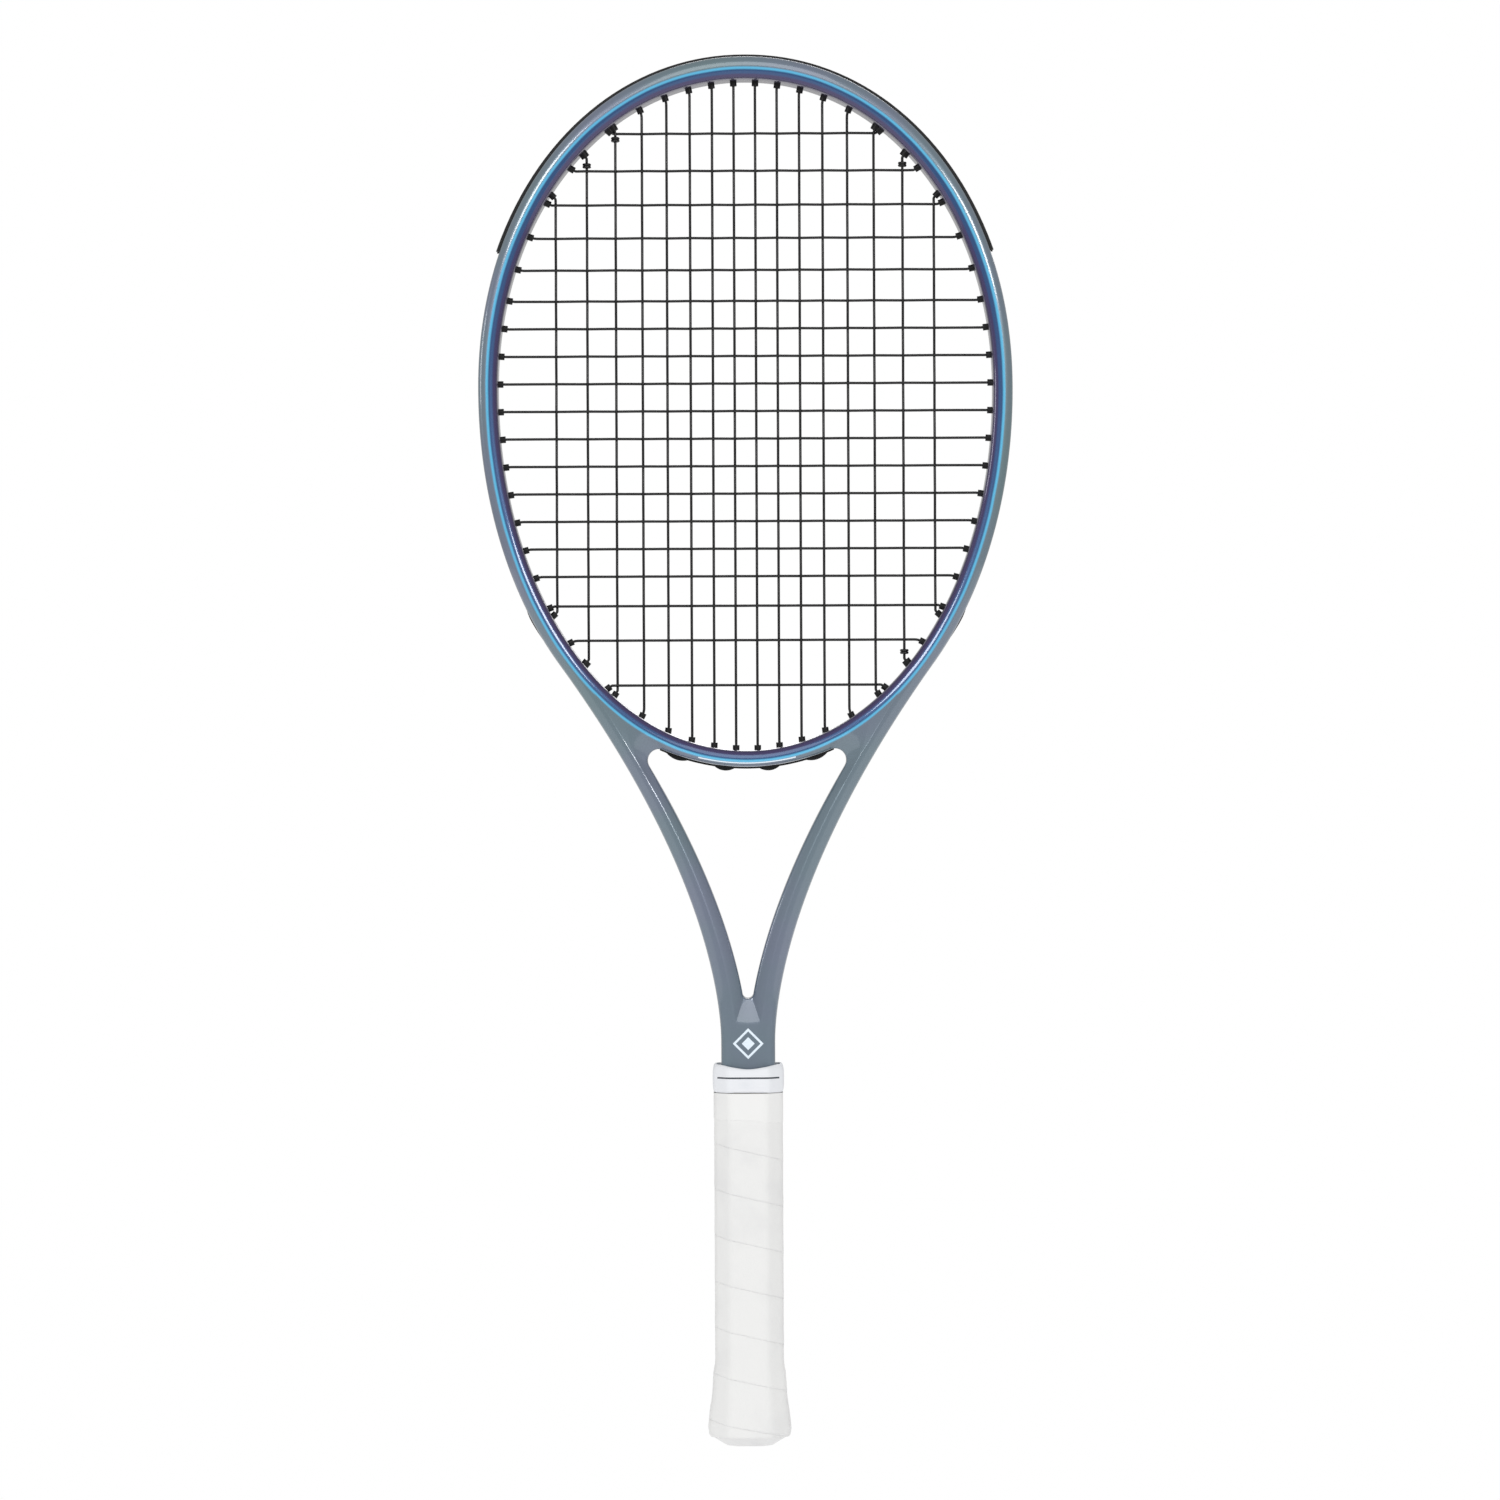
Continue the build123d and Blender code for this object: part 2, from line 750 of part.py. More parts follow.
def string_solid(points):
    """A string along straight runs joined by tangent arcs."""
    corners = [Vector(*p) for p in points]
    radii = []
    for a, b, c in zip(corners, corners[1:], corners[2:]):
        turn = (b - a).get_angle(c - b)
        room = bend_share * min((b - a).length, (c - b).length) / tan(radians(max(turn, 0.01)) / 2)
        wish = weave_bend if turn < gentle_turn else lane_bend if turn < sharp_turn else tight_bend
        radii.append(min(wish, room))
    path = FilletPolyline(*corners, radius=radii)
    section = Plane(origin=path @ 0, z_dir=path % 0) * Circle(string_radius)
    solid = sweep(section, path=path)
    length = sum(e.length for e in path.edges())
    print(f"string {length:.0f} mm, volume share {solid.volume / (pi * string_radius ** 2 * length):.4f}")
    return solid


def anchor_line(k, side, top):
    """Where main string k leaves its bend at a tie-off hole, and its direction from there."""
    hole, run = pick(heads if top else tails, k, side), main_run(k, side, True)
    start = Vector(*at(hole.bend, tie_share * tie_side(k, side, top)))
    return start, (Vector(*run[0 if top else -1]) - start).normalized()


def tail_end(k, side, top):
    """The end of a tied string, against its knot."""
    hole = pick(heads if top else tails, k, side)
    start = Vector(*at(hole.bend, -tie_share * tie_side(k, side, top)))
    end = start + anchor_line(k, side, top)[1] * (knot_drop - string_radius - tail_gap)
    return end.X, end.Y, end.Z


def knot(k, side, top):
    """Two turns of string drawn tight round an anchor string."""
    start, d = anchor_line(k, side, top)
    ring = Torus(2 * tie_share, string_radius)
    stack = ring + Pos(0, 0, knot_rise) * ring
    return Plane(origin=start + d * knot_drop, z_dir=d) * stack


# ---------------------------------------------------------------- handle

def octagon(grow, bevel=pallet_bevel):
    """The handle's eight-sided section, grown all round."""
    w, d, c = pallet_width / 2 + grow, pallet_depth / 2 + grow, bevel + (2 - sqrt(2)) * grow
    quarter = [(w, d - c), (w - c, d)]
    upper = quarter + [(-x, y) for x, y in quarter[::-1]]
    return make_face(Polyline(*upper, *[(-x, -y) for x, y in upper], close=True))


def stacked(growths, base=0.0, extra=0.0, bevel=pallet_bevel):
    """A ruled loft through eight-sided sections given as heights and growths."""
    rows = sorted(growths)
    return loft([Pos(0, 0, base + z) * octagon(g + extra, bevel) for z, g in rows], ruled=True)


def prism(grow, low, high, bevel=pallet_bevel):
    """An eight-sided bar between two heights."""
    return Pos(0, 0, low) * extrude(octagon(grow, bevel), high - low)


def staple_boxes(grow=0.0):
    """The two staples, each a crown with two legs."""
    out = []
    surface = pallet_width / 2 + staple_seat
    for side in (-1, 1):
        crown_x = side * (surface - staple_wire / 2)
        crown = Pos(crown_x, 0, staple_height) * Box(staple_wire, staple_span, staple_breadth)
        leg_x = side * (surface - staple_leg / 2)
        for end in (-1, 1):
            crown += Pos(leg_x, end * (staple_span - staple_wire) / 2, staple_height) * Box(
                staple_leg, staple_wire, staple_breadth)
        out.append(crown)
    return out


def make_pallets():
    """The two halves of the foam handle, round the frame's core."""
    body = prism(0.0, cap_floor, pallet_top)
    pocket = Pos(0, 0, (cap_floor + pallet_top) / 2) * Box(
        core_width + 2 * glue_gap, core_depth + 2 * glue_gap, pallet_top - cap_floor + 2)
    body -= fillet(pocket.edges().filter_by(Axis.Z), core_radius)
    for staple in staple_boxes():
        body -= staple
    front = body & Pos(0, -beyond / 2, 0) * Box(beyond, beyond, beyond)
    back = body & Pos(0, beyond / 2, 0) * Box(beyond, beyond, beyond)
    return front, back


def make_butt_cap():
    """The flared cap with its skirt and the opening for the plug."""
    cap = stacked(cap_growth)
    cap -= prism(glue_gap, cap_floor, cap_skirt_top + 1)
    cap -= Pos(0, 0, (plug_recess + plug_head) / 2 - 0.5) * Box(
        plug_width + 2 * plug_gap, plug_depth + 2 * plug_gap, plug_recess + plug_head + 1)
    cap -= Pos(0, 0, cap_floor / 2) * Box(
        plug_width - 2 * plug_ledge + 2 * plug_gap, plug_depth - 2 * plug_ledge + 2 * plug_gap, cap_floor + 2)
    for staple in staple_boxes():
        cap -= staple
    return cap


def make_plug():
    """The plug: a head and a hollow stem."""
    head = Pos(0, 0, plug_recess + plug_head / 2) * Box(plug_width, plug_depth, plug_head)
    head = fillet(head.edges().filter_by(Axis.Z), plug_corner)
    height = cap_floor - plug_recess - plug_head + plug_reach
    stem = Pos(0, 0, plug_recess + plug_head + height / 2) * Box(
        plug_width - 2 * plug_ledge, plug_depth - 2 * plug_ledge, height)
    stem -= Pos(0, 0, plug_recess + plug_head + height / 2) * Box(
        plug_width - 2 * plug_ledge - 2 * plug_wall, plug_depth - 2 * plug_ledge - 2 * plug_wall, height)
    return head + stem


def make_grip():
    """The cushioned wrap, from the flare to under the finishing tape."""
    flare = [(z, g) for z, g in cap_growth if z >= grip_start]
    skin = stacked(flare, extra=grip_thickness) - stacked(flare)
    straight = prism(grip_thickness, cap_skirt_top, tape_bottom) - prism(0.0, cap_skirt_top, tape_bottom)
    pressed = prism(grip_pressed, tape_bottom, tape_top) - prism(0.0, tape_bottom, tape_top)
    return skin + straight + pressed


def make_tape():
    """The tape round the top of the wrap."""
    low, high = tape_bottom + 0.05, tape_top
    return prism(grip_pressed + tape_thickness, low, high) - prism(grip_pressed, low, high)


def make_collar():
    """The rubber collar over the top of the handle."""
    height = collar_growth[-1][0]
    outside = stacked(collar_growth, base=collar_bottom, bevel=collar_bevel)
    return outside - prism(collar_bore, collar_bottom, collar_bottom + height, collar_bevel)


# ---------------------------------------------------------------- the parts

def build_all():
    """Every part by name."""
    frame, bridge = make_frame_and_bridge()
    strip = make_side_strip()
    pallet_front, pallet_back = make_pallets()
    right, left = main_half(1), main_half(-1)
    main_route = left[::-1] + outside_lane(mirrored(heads[1]), heads[1], lane) + right
    knots = [knot(tied_mains[-1], 1, True), knot(tied_mains[-1], -1, True),
             knot(tied_mains[0], -1, True), knot(tied_mains[-1], 1, False)]
    return {
        "frame": frame,
        "throat_bridge": bridge,
        "bumper_guard": make_bumper(),
        "side_grommet_strip_right": strip,
        "side_grommet_strip_left": mirror(strip, Plane.YZ),
        "throat_grommet_strip": make_throat_strip(),
        "main_string": string_solid(main_route),
        "cross_string": string_solid(cross_route()),
        "tie_off_knots": Compound(children=knots),
        "handle_pallet_front": pallet_front,
        "handle_pallet_back": pallet_back,
        "butt_cap": make_butt_cap(),
        "butt_plug": make_plug(),
        "butt_cap_staples": Compound(children=staple_boxes()),
        "base_grip": make_grip(),
        "finishing_tape": make_tape(),
        "rubber_collar": make_collar(),
    }


if __name__ == "__main__":
    os.makedirs("parts", exist_ok=True)
    for name, shape in build_all().items():
        shape.label = name
        export_step(shape, f"parts/{name}.step")
        print(name, len(shape.solids()), round(shape.volume))
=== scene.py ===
"""A strung tennis racket, dressed for a studio picture around its fixed working model."""

import logging
import math
from dataclasses import dataclass, field
from enum import Enum
from typing import Callable, Optional, Sequence

import bmesh
import bpy
from mathutils import Matrix, Vector

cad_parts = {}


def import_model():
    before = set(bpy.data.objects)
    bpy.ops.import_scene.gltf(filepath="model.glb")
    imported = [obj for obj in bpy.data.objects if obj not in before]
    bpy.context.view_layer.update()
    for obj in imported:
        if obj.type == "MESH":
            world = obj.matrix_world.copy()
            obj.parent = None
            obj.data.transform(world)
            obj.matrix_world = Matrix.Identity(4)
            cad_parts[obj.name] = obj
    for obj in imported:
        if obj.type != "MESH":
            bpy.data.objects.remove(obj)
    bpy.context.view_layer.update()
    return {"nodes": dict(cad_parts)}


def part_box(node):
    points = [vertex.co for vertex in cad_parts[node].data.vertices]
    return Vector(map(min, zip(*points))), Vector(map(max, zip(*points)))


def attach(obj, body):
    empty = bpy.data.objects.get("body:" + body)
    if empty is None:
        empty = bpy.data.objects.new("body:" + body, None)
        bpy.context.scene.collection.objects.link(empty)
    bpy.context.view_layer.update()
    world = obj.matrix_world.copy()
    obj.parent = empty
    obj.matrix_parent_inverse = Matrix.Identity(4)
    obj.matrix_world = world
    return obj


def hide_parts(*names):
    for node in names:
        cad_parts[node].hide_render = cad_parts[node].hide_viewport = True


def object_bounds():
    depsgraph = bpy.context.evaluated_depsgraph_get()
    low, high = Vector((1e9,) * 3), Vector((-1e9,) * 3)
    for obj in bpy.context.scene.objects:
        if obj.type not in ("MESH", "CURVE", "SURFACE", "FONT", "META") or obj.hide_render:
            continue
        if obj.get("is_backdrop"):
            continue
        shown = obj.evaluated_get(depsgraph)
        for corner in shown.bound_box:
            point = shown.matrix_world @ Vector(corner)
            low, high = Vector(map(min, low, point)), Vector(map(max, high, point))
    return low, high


log = logging.getLogger("racket")
MM = 0.001
Colour = tuple[float, float, float]
Point = tuple[float, float]


class Body(Enum):
    """The working model's bodies that carry a dressed piece."""
    RACKET = "racket"
    COLLAR = "collar"


def linear(red: int, green: int, blue: int) -> Colour:
    """A screen colour as the shader's own light values.

    Args:
        red, green, blue: the screen values, 0 to 255.

    Returns:
        The three linear values.
    """
    def one(value: int) -> float:
        """One screen value as a linear one."""
        share = value / 255
        return share / 12.92 if share <= 0.04045 else ((share + 0.055) / 1.055) ** 2.4

    return one(red), one(green), one(blue)


def blend(a: float, b: float, share: float) -> float:
    """The value a share of the way from a to b."""
    return a + (b - a) * share


def ease(low: float, high: float, value: float) -> float:
    """A smooth step from 0 at low to 1 at high."""
    share = min(max((value - low) / (high - low), 0.0), 1.0)
    return share * share * (3 - 2 * share)


# ------------------------------------------------------------------ finishes

@dataclass(frozen=True)
class Value:
    """One number in a material, with arithmetic that adds Math nodes."""
    shader: "Shader"
    socket: bpy.types.NodeSocket

    def apply(self, operation: str, *others: "Value | float", last: bool = False) -> "Value":
        """A Math node on this value and others.

        Args:
            operation: the Math node's operation.
            others: the other operands.
            last: whether this value is the last operand instead of the first.

        Returns:
            The result.
        """
        operands = [*others, self] if last else [self, *others]
        node = self.shader.node("ShaderNodeMath", {"operation": operation},
                                {i: v for i, v in enumerate(operands)})
        return Value(self.shader, node.outputs[0])

    def __add__(self, other: "Value | float") -> "Value":
        """Sum."""
        return self.apply("ADD", other)

    __radd__ = __add__

    def __sub__(self, other: "Value | float") -> "Value":
        """Difference."""
        return self.apply("SUBTRACT", other)

    def __rsub__(self, other: "Value | float") -> "Value":
        """Difference from a number."""
        return self.apply("SUBTRACT", other, last=True)

    def __mul__(self, other: "Value | float") -> "Value":
        """Product."""
        return self.apply("MULTIPLY", other)

    __rmul__ = __mul__

    def step(self, low: float, high: float) -> "Value":
        """A smooth step from 0 at low to 1 at high, or the other way round.

        Args:
            low: where the step starts.
            high: where it ends.

        Returns:
            The share, 0 to 1.
        """
        node = self.shader.node("ShaderNodeMapRange", {"interpolation_type": "SMOOTHSTEP"},
                                {"Value": self, "From Min": low, "From Max": high})
        return Value(self.shader, node.outputs[0])


class Shader:
    """A material being put together around one Principled surface."""

    def __init__(self, name: str, **constants: object) -> None:
        """Start a material.

        Args:
            name: the material's name.
            constants: Principled sockets that are the same all over, with _ for a space.
        """
        self.material = bpy.data.materials.new(name)
        self.material.use_nodes = True
        self.tree = self.material.node_tree
        self.tree.nodes.clear()
        values = {key.replace("_", " "): value for key, value in constants.items()}
        self.surface = self.node("ShaderNodeBsdfPrincipled", {}, values)
        self.node("ShaderNodeOutputMaterial", {}, {"Surface": self.surface.outputs[0]})
        self.place = self.node("ShaderNodeTexCoord").outputs["Object"]

    def node(self, kind: str, settings: Optional[dict] = None,
             inputs: Optional[dict] = None) -> bpy.types.Node:
        """Add one node.

        Args:
            kind: the node's type.
            settings: its properties, set first.
            inputs: values, links or Values for its sockets, by name, identifier or number.

        Returns:
            The node.
        """
        made = self.tree.nodes.new(kind)
        for key, value in (settings or {}).items():
            setattr(made, key, value)
        by_name = {s.identifier: s for s in made.inputs} | {s.name: s for s in reversed(made.inputs)}
        for key, value in (inputs or {}).items():
            socket = made.inputs[key] if isinstance(key, int) else by_name[key]
            if isinstance(value, Value):
                self.tree.links.new(value.socket, socket)
            elif isinstance(value, bpy.types.NodeSocket):
                self.tree.links.new(value, socket)
            elif isinstance(value, tuple) and len(value) == 3 and socket.type == "RGBA":
                socket.default_value = (*value, 1.0)
            else:
                socket.default_value = value
        return made

    def mix(self, share: "Value", a: "Colour | bpy.types.NodeSocket",
            b: "Colour | bpy.types.NodeSocket") -> bpy.types.NodeSocket:
        """A colour between two.

        Args:
            share: how much of b.
            a, b: the colours.

        Returns:
            The mixed colour's socket.
        """
        node = self.tree.nodes.new("ShaderNodeMix")
        node.data_type = "RGBA"
        sockets = {s.identifier: s for s in node.inputs}
        self.tree.links.new(share.socket, sockets["Factor_Float"])
        for key, colour in (("A_Color", a), ("B_Color", b)):
            if isinstance(colour, bpy.types.NodeSocket):
                self.tree.links.new(colour, sockets[key])
            else:
                sockets[key].default_value = (*colour, 1.0)
        return next(s for s in node.outputs if s.identifier == "Result_Color")

    def noise(self, scale: float, detail: float = 2.0, stretch: Colour = (1.0, 1.0, 1.0)) -> Value:
        """Cloudy noise over the object's own space.

        Args:
            scale: its fineness, per metre.
            detail: how many finer layers it has.
            stretch: a factor along each axis.

        Returns:
            The noise, about 0 to 1.
        """
        moved = self.node("ShaderNodeMapping", {}, {"Vector": self.place, "Scale": stretch})
        inputs = {"Vector": moved.outputs[0], "Scale": scale, "Detail": detail}
        return Value(self, self.node("ShaderNodeTexNoise", {}, inputs).outputs[0])

    def cells(self, scale: float) -> Value:
        """The distance to the nearest of many scattered points, for grain.

        Args:
            scale: cells per metre.

        Returns:
            The distance, in cells.
        """
        node = self.node("ShaderNodeTexVoronoi", {}, {"Vector": self.place, "Scale": scale})
        return Value(self, node.outputs["Distance"])

    def attribute(self, name: str) -> Value:
        """One of the mesh's own numbers."""
        return Value(self, self.node("ShaderNodeAttribute", {"attribute_name": name}).outputs["Fac"])

    def finish(self, colour: object = None, roughness: object = None, height: object = None,
               lift: float = 0.0001, weight: Optional[dict] = None) -> bpy.types.Material:
        """Link what changes over the surface, and give the material.

        Args:
            colour: the base colour's socket.
            roughness: the roughness Value.
            height: the relief Value, 0 to 1.
            lift: the relief's height in metres.
            weight: more Principled sockets and their Values.

        Returns:
            The material.
        """
        wanted = {"Base Color": colour, "Roughness": roughness, **(weight or {})}
        for key, value in wanted.items():
            if value is not None:
                source = value.socket if isinstance(value, Value) else value
                self.tree.links.new(source, self.surface.inputs[key])
        if height is not None:
            bump = self.node("ShaderNodeBump", {}, {"Height": height, "Distance": lift, "Strength": 1.0})
            self.tree.links.new(bump.outputs[0], self.surface.inputs["Normal"])
        return self.material


@dataclass(frozen=True)
class Lacquer:
    """The pearl lacquer: slate outside, with a blue and violet band round the string bed, edged by a painted
    cyan highlight along the crest.
    """
    slate: Colour = linear(103, 120, 131)
    lavender: Colour = linear(108, 117, 136)
    green_grey: Colour = linear(100, 121, 126)
    # painted highlight: the bright cyan line along the crest, laid over the paint's own change from blue to
    # slate
    crest_highlight_cyan: Colour = linear(88, 186, 228)
    blue: Colour = linear(12, 66, 118)
    violet: Colour = linear(50, 38, 90)
    wall: Colour = linear(70, 64, 92)
    band_edge: float = 5.0

    def make(self) -> bpy.types.Material:
        """The material.

        Returns:
            A coated pearl paint that reads the mesh's bed_distance, in millimetres.
        """
        s = Shader("pearl lacquer", Metallic=0.25, Coat_Weight=1.0, Coat_Roughness=0.06, IOR=1.5)
        away = s.attribute("bed_distance")
        drift = s.noise(14.0, 3.0)
        tint = s.mix(drift.step(0.42, 0.62), self.slate, self.lavender)
        tint = s.mix(s.noise(9.0, 2.0, (1.0, 1.0, 0.6)).step(0.5, 0.7), tint, self.green_grey)
        wander = away + (s.noise(40.0) - 0.5) * 0.5
        edge = self.band_edge
        band = s.mix(wander.step(0.4, 1.3), self.wall, self.violet)
        band = s.mix(wander.step(edge - 3.2, edge - 2.0), band, self.blue)
        # painted highlight: a cyan line about 4 to 5 mm from the bed, where the crest of the rounding lies
        band = s.mix(wander.step(edge - 0.9, edge + 0.1), band, self.crest_highlight_cyan)
        paint = s.mix(wander.step(edge + 0.3, edge + 1.3), band, tint)
        flake = s.cells(5200.0)
        paint = s.mix(flake.step(0.30, 0.05) * 0.11, paint, linear(214, 224, 236))
        rough = 0.26 + s.noise(700.0, 2.0) * 0.08
        return s.finish(paint, rough, s.noise(900.0, 1.0), 0.000006)


@dataclass(frozen=True)
class MouldedFinish:
    """A moulded plastic or rubber: one tone, a fine grain and rubbed patches."""
    name: str
    tone: Colour
    rubbed: Colour
    roughness: float
    grain: float
    lift: float
    specular: float = 0.5

    def make(self) -> bpy.types.Material:
        """The material."""
        s = Shader(self.name, Specular_IOR_Level=self.specular)
        worn = s.noise(60.0, 5.0).step(0.55, 0.75)
        colour = s.mix(worn * 0.5, self.tone, self.rubbed)
        rough = self.roughness + worn * -0.08 + s.noise(self.grain, 2.0) * 0.1
        return s.finish(colour, rough, s.noise(self.grain, 3.0), self.lift)


@dataclass(frozen=True)
class StringFinish:
    """Black monofilament with a soft gloss and faint draw lines."""
    tone: Colour = linear(12, 12, 13)
    dusty: Colour = linear(30, 30, 33)

    def make(self) -> bpy.types.Material:
        """The material."""
        s = Shader("black monofilament", Specular_IOR_Level=0.35, Coat_Weight=0.15, Coat_Roughness=0.2)
        dust = s.noise(180.0, 4.0).step(0.5, 0.8)
        rough = 0.36 + dust * 0.2
        return s.finish(s.mix(dust * 0.6, self.tone, self.dusty), rough, s.noise(2600.0, 2.0), 0.00001)


@dataclass(frozen=True)
class WrapFinish:
    """Soft white wrap: fine pebbled grain, with grey painted shade along its edges where each turn laps over
    the next.
    """
    name: str
    tone: Colour
    # the grey used for the random mottling and for the painted shade at the seams
    mottle_and_seam_shade: Colour
    grain: float
    lift: float

    def make(self) -> bpy.types.Material:
        """The material, which reads the strip's own across value."""
        s = Shader(self.name, Sheen_Weight=0.25, Sheen_Roughness=0.5)
        across = s.attribute("across")
        # painted shade: darker at both edges of the strip, in the creases where the turns overlap
        seam_shade = across.step(0.055, 0.0) + across.step(0.86, 0.93)
        soft = s.noise(45.0, 4.0).step(0.45, 0.8)
        colour = s.mix(soft * 0.3 + seam_shade * 0.16, self.tone, self.mottle_and_seam_shade)
        pebble = s.cells(self.grain)
        rough = 0.62 + pebble * 0.12
        return s.finish(colour, rough, pebble * 0.7 + s.noise(self.grain * 2) * 0.5, self.lift)


@dataclass(frozen=True)
class WireFinish:
    """Galvanised wire."""
    tone: Colour = linear(168, 170, 174)

    def make(self) -> bpy.types.Material:
        """The material."""
        s = Shader("galvanised wire", Metallic=1.0)
        spangle = s.cells(1500.0)
        return s.finish(s.mix(spangle, self.tone, linear(130, 132, 138)), 0.3 + spangle * 0.2)


@dataclass(frozen=True)
class InkFinish:
    """Printed ink, laid a little unevenly."""
    name: str
    tone: Colour
    thin: Colour

    def make(self) -> bpy.types.Material:
        """The material."""
        s = Shader(self.name, Coat_Weight=0.6, Coat_Roughness=0.1)
        patchy = s.noise(900.0, 3.0).step(0.5, 0.75)
        return s.finish(s.mix(patchy * 0.35, self.tone, self.thin), 0.4 + patchy * 0.15)


@dataclass(frozen=True)
class PaperFinish:
    """The studio's white sweep, which glows a little so that it stays white."""
    glow: float = 1.0

    def make(self) -> bpy.types.Material:
        """The material."""
        s = Shader("white sweep", Emission_Strength=self.glow, Specular_IOR_Level=0.0, Roughness=1.0)
        fibre = s.noise(120.0, 3.0)
        colour = s.mix(fibre, (0.0, 0.0, 0.0), (0.01, 0.01, 0.01))
        return s.finish(colour, weight={"Emission Color": s.mix(fibre, (1.0, 1.0, 1.0), (0.99, 0.99, 0.99))})


BLACK_NYLON = MouldedFinish("black nylon", linear(15, 15, 16), linear(38, 38, 41), 0.46, 1500.0,
                            0.00002, 0.35)
CAP_PLASTIC = MouldedFinish("white cap plastic", linear(228, 228, 228), linear(208, 208, 210), 0.38,
                            1100.0, 0.00002)
RUBBER = MouldedFinish("white rubber", linear(228, 230, 234), linear(214, 217, 223), 0.5, 1300.0, 0.00003)
FOAM = MouldedFinish("pallet foam", linear(214, 205, 186), linear(190, 178, 155), 0.8, 1800.0, 0.0001)
GRIP_WRAP = WrapFinish("white grip", linear(229, 229, 228), linear(205, 205, 207), 1100.0, 0.00006)
TAPE_WRAP = WrapFinish("white finishing tape", linear(232, 232, 231), linear(208, 208, 210), 2400.0, 0.00002)


# ------------------------------------------------------------------ mesh helpers

class Piece:
    """One visible piece under construction, in millimetres."""

    def __init__(self, name: str) -> None:
        """Start an empty piece.

        Args:
            name: the object's name.
        """
        self.name = name
        self.mesh = bmesh.new()

    def chain(self, points: Sequence[Vector], closed: bool = False) -> list[bmesh.types.BMVert]:
        """A chain of edges.

        Args:
            points: its places.
            closed: whether the last joins the first.

        Returns:
            Its vertices, in order.
        """
        verts = [self.mesh.verts.new(p) for p in points]
        pairs = list(zip(verts, verts[1:])) + ([(verts[-1], verts[0])] if closed else [])
        for a, b in pairs:
            self.mesh.edges.new((a, b))
        return verts

    def grow(self, row: list[bmesh.types.BMVert], points: Sequence[Vector]) -> list[bmesh.types.BMVert]:
        """Extrude a chain of edges into one more row of faces.

        Args:
            row: the chain's vertices.
            points: where its copies go.

        Returns:
            The new row's vertices.
        """
        members = set(row)
        edges = list({e for v in row for e in v.link_edges if e.other_vert(v) in members and self.is_open(e)})
        made = bmesh.ops.extrude_edge_only(self.mesh, edges=edges)["geom"]
        fresh = {g for g in made if isinstance(g, bmesh.types.BMVert)}
        following = []
        for vert, place in zip(row, points):
            twin = next(e.other_vert(vert) for e in vert.link_edges if e.other_vert(vert) in fresh)
            twin.co = place
            following.append(twin)
        return following

    @staticmethod
    def is_open(edge: bmesh.types.BMEdge) -> bool:
        """Whether an edge can still take a face."""
        return len(edge.link_faces) < 2

    def loft(self, rings: Sequence[Sequence[Vector]], closed: bool = True) -> None:
        """A tube through rings, with both ends filled.

        Args:
            rings: each ring's points.
            closed: whether the rings are closed loops.
        """
        row = self.chain(rings[0], closed)
        self.mesh.faces.new(row)
        for ring in rings[1:]:
            row = self.grow(row, ring)
        self.mesh.faces.new(row)

    def mirror(self, axis: str) -> None:
        """Add the mirror image across a plane through the origin, and weld the two.

        Args:
            axis: the axis that turns round.
        """
        geometry = self.mesh.verts[:] + self.mesh.edges[:] + self.mesh.faces[:]
        bmesh.ops.mirror(self.mesh, geom=geometry, matrix=Matrix.Identity(4), merge_dist=0.0005, axis=axis)

    def object(self, merge: float = 0.0005, smooth: bool = True) -> bpy.types.Object:
        """Finish the mesh: weld, turn the faces outwards and scale it to metres.

        Args:
            merge: the welding distance.
            smooth: whether its faces are shaded smooth.

        Returns:
            The object, at the origin.
        """
        bmesh.ops.remove_doubles(self.mesh, verts=self.mesh.verts[:], dist=merge)
        bmesh.ops.dissolve_degenerate(self.mesh, dist=merge / 5, edges=self.mesh.edges[:])
        bmesh.ops.recalc_face_normals(self.mesh, faces=self.mesh.faces[:])
        bmesh.ops.scale(self.mesh, vec=(MM, MM, MM), verts=self.mesh.verts[:])
        for face in self.mesh.faces:
            face.smooth = smooth
        data = bpy.data.meshes.new(self.name)
        self.mesh.to_mesh(data)
        self.mesh.free()
        made = bpy.data.objects.new(self.name, data)
        bpy.context.scene.collection.objects.link(made)
        return made


def measure(piece: bpy.types.Object, name: str, rule: Callable[[Vector], float]) -> None:
    """Store a number on each of a mesh's points.

    Args:
        piece: the object.
        name: the number's name.
        rule: gives the number from the point's place in millimetres.
    """
    numbers = piece.data.attributes.new(name, "FLOAT", "POINT")
    for vert, slot in zip(piece.data.vertices, numbers.data):
        slot.value = rule(vert.co / MM)


def place_piece(piece: bpy.types.Object, body: Body, material: bpy.types.Material,
                nodes: Sequence[str] = ()) -> bpy.types.Object:
    """Hand a finished piece to the frame.

    Args:
        piece: the object.
        body: what it moves with.
        material: its finish.
        nodes: the working model's nodes that it stands for.

    Returns:
        The piece.
    """
    piece.data.materials.clear()
    piece.data.materials.append(material)
    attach(piece, body.value)
    if nodes:
        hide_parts(*nodes)
    log.info("%s: %d faces on %s", piece.name, len(piece.data.polygons), body.value)
    return piece


# ------------------------------------------------------------------ frame

class Zone(Enum):
    """What a stretch of an opening's edge belongs to."""
    HOOP = "hoop"
    BRIDGE = "bridge"
    CORNER = "corner"
    LEG = "leg"
    NOTCH = "notch"
    SHAFT = "shaft"


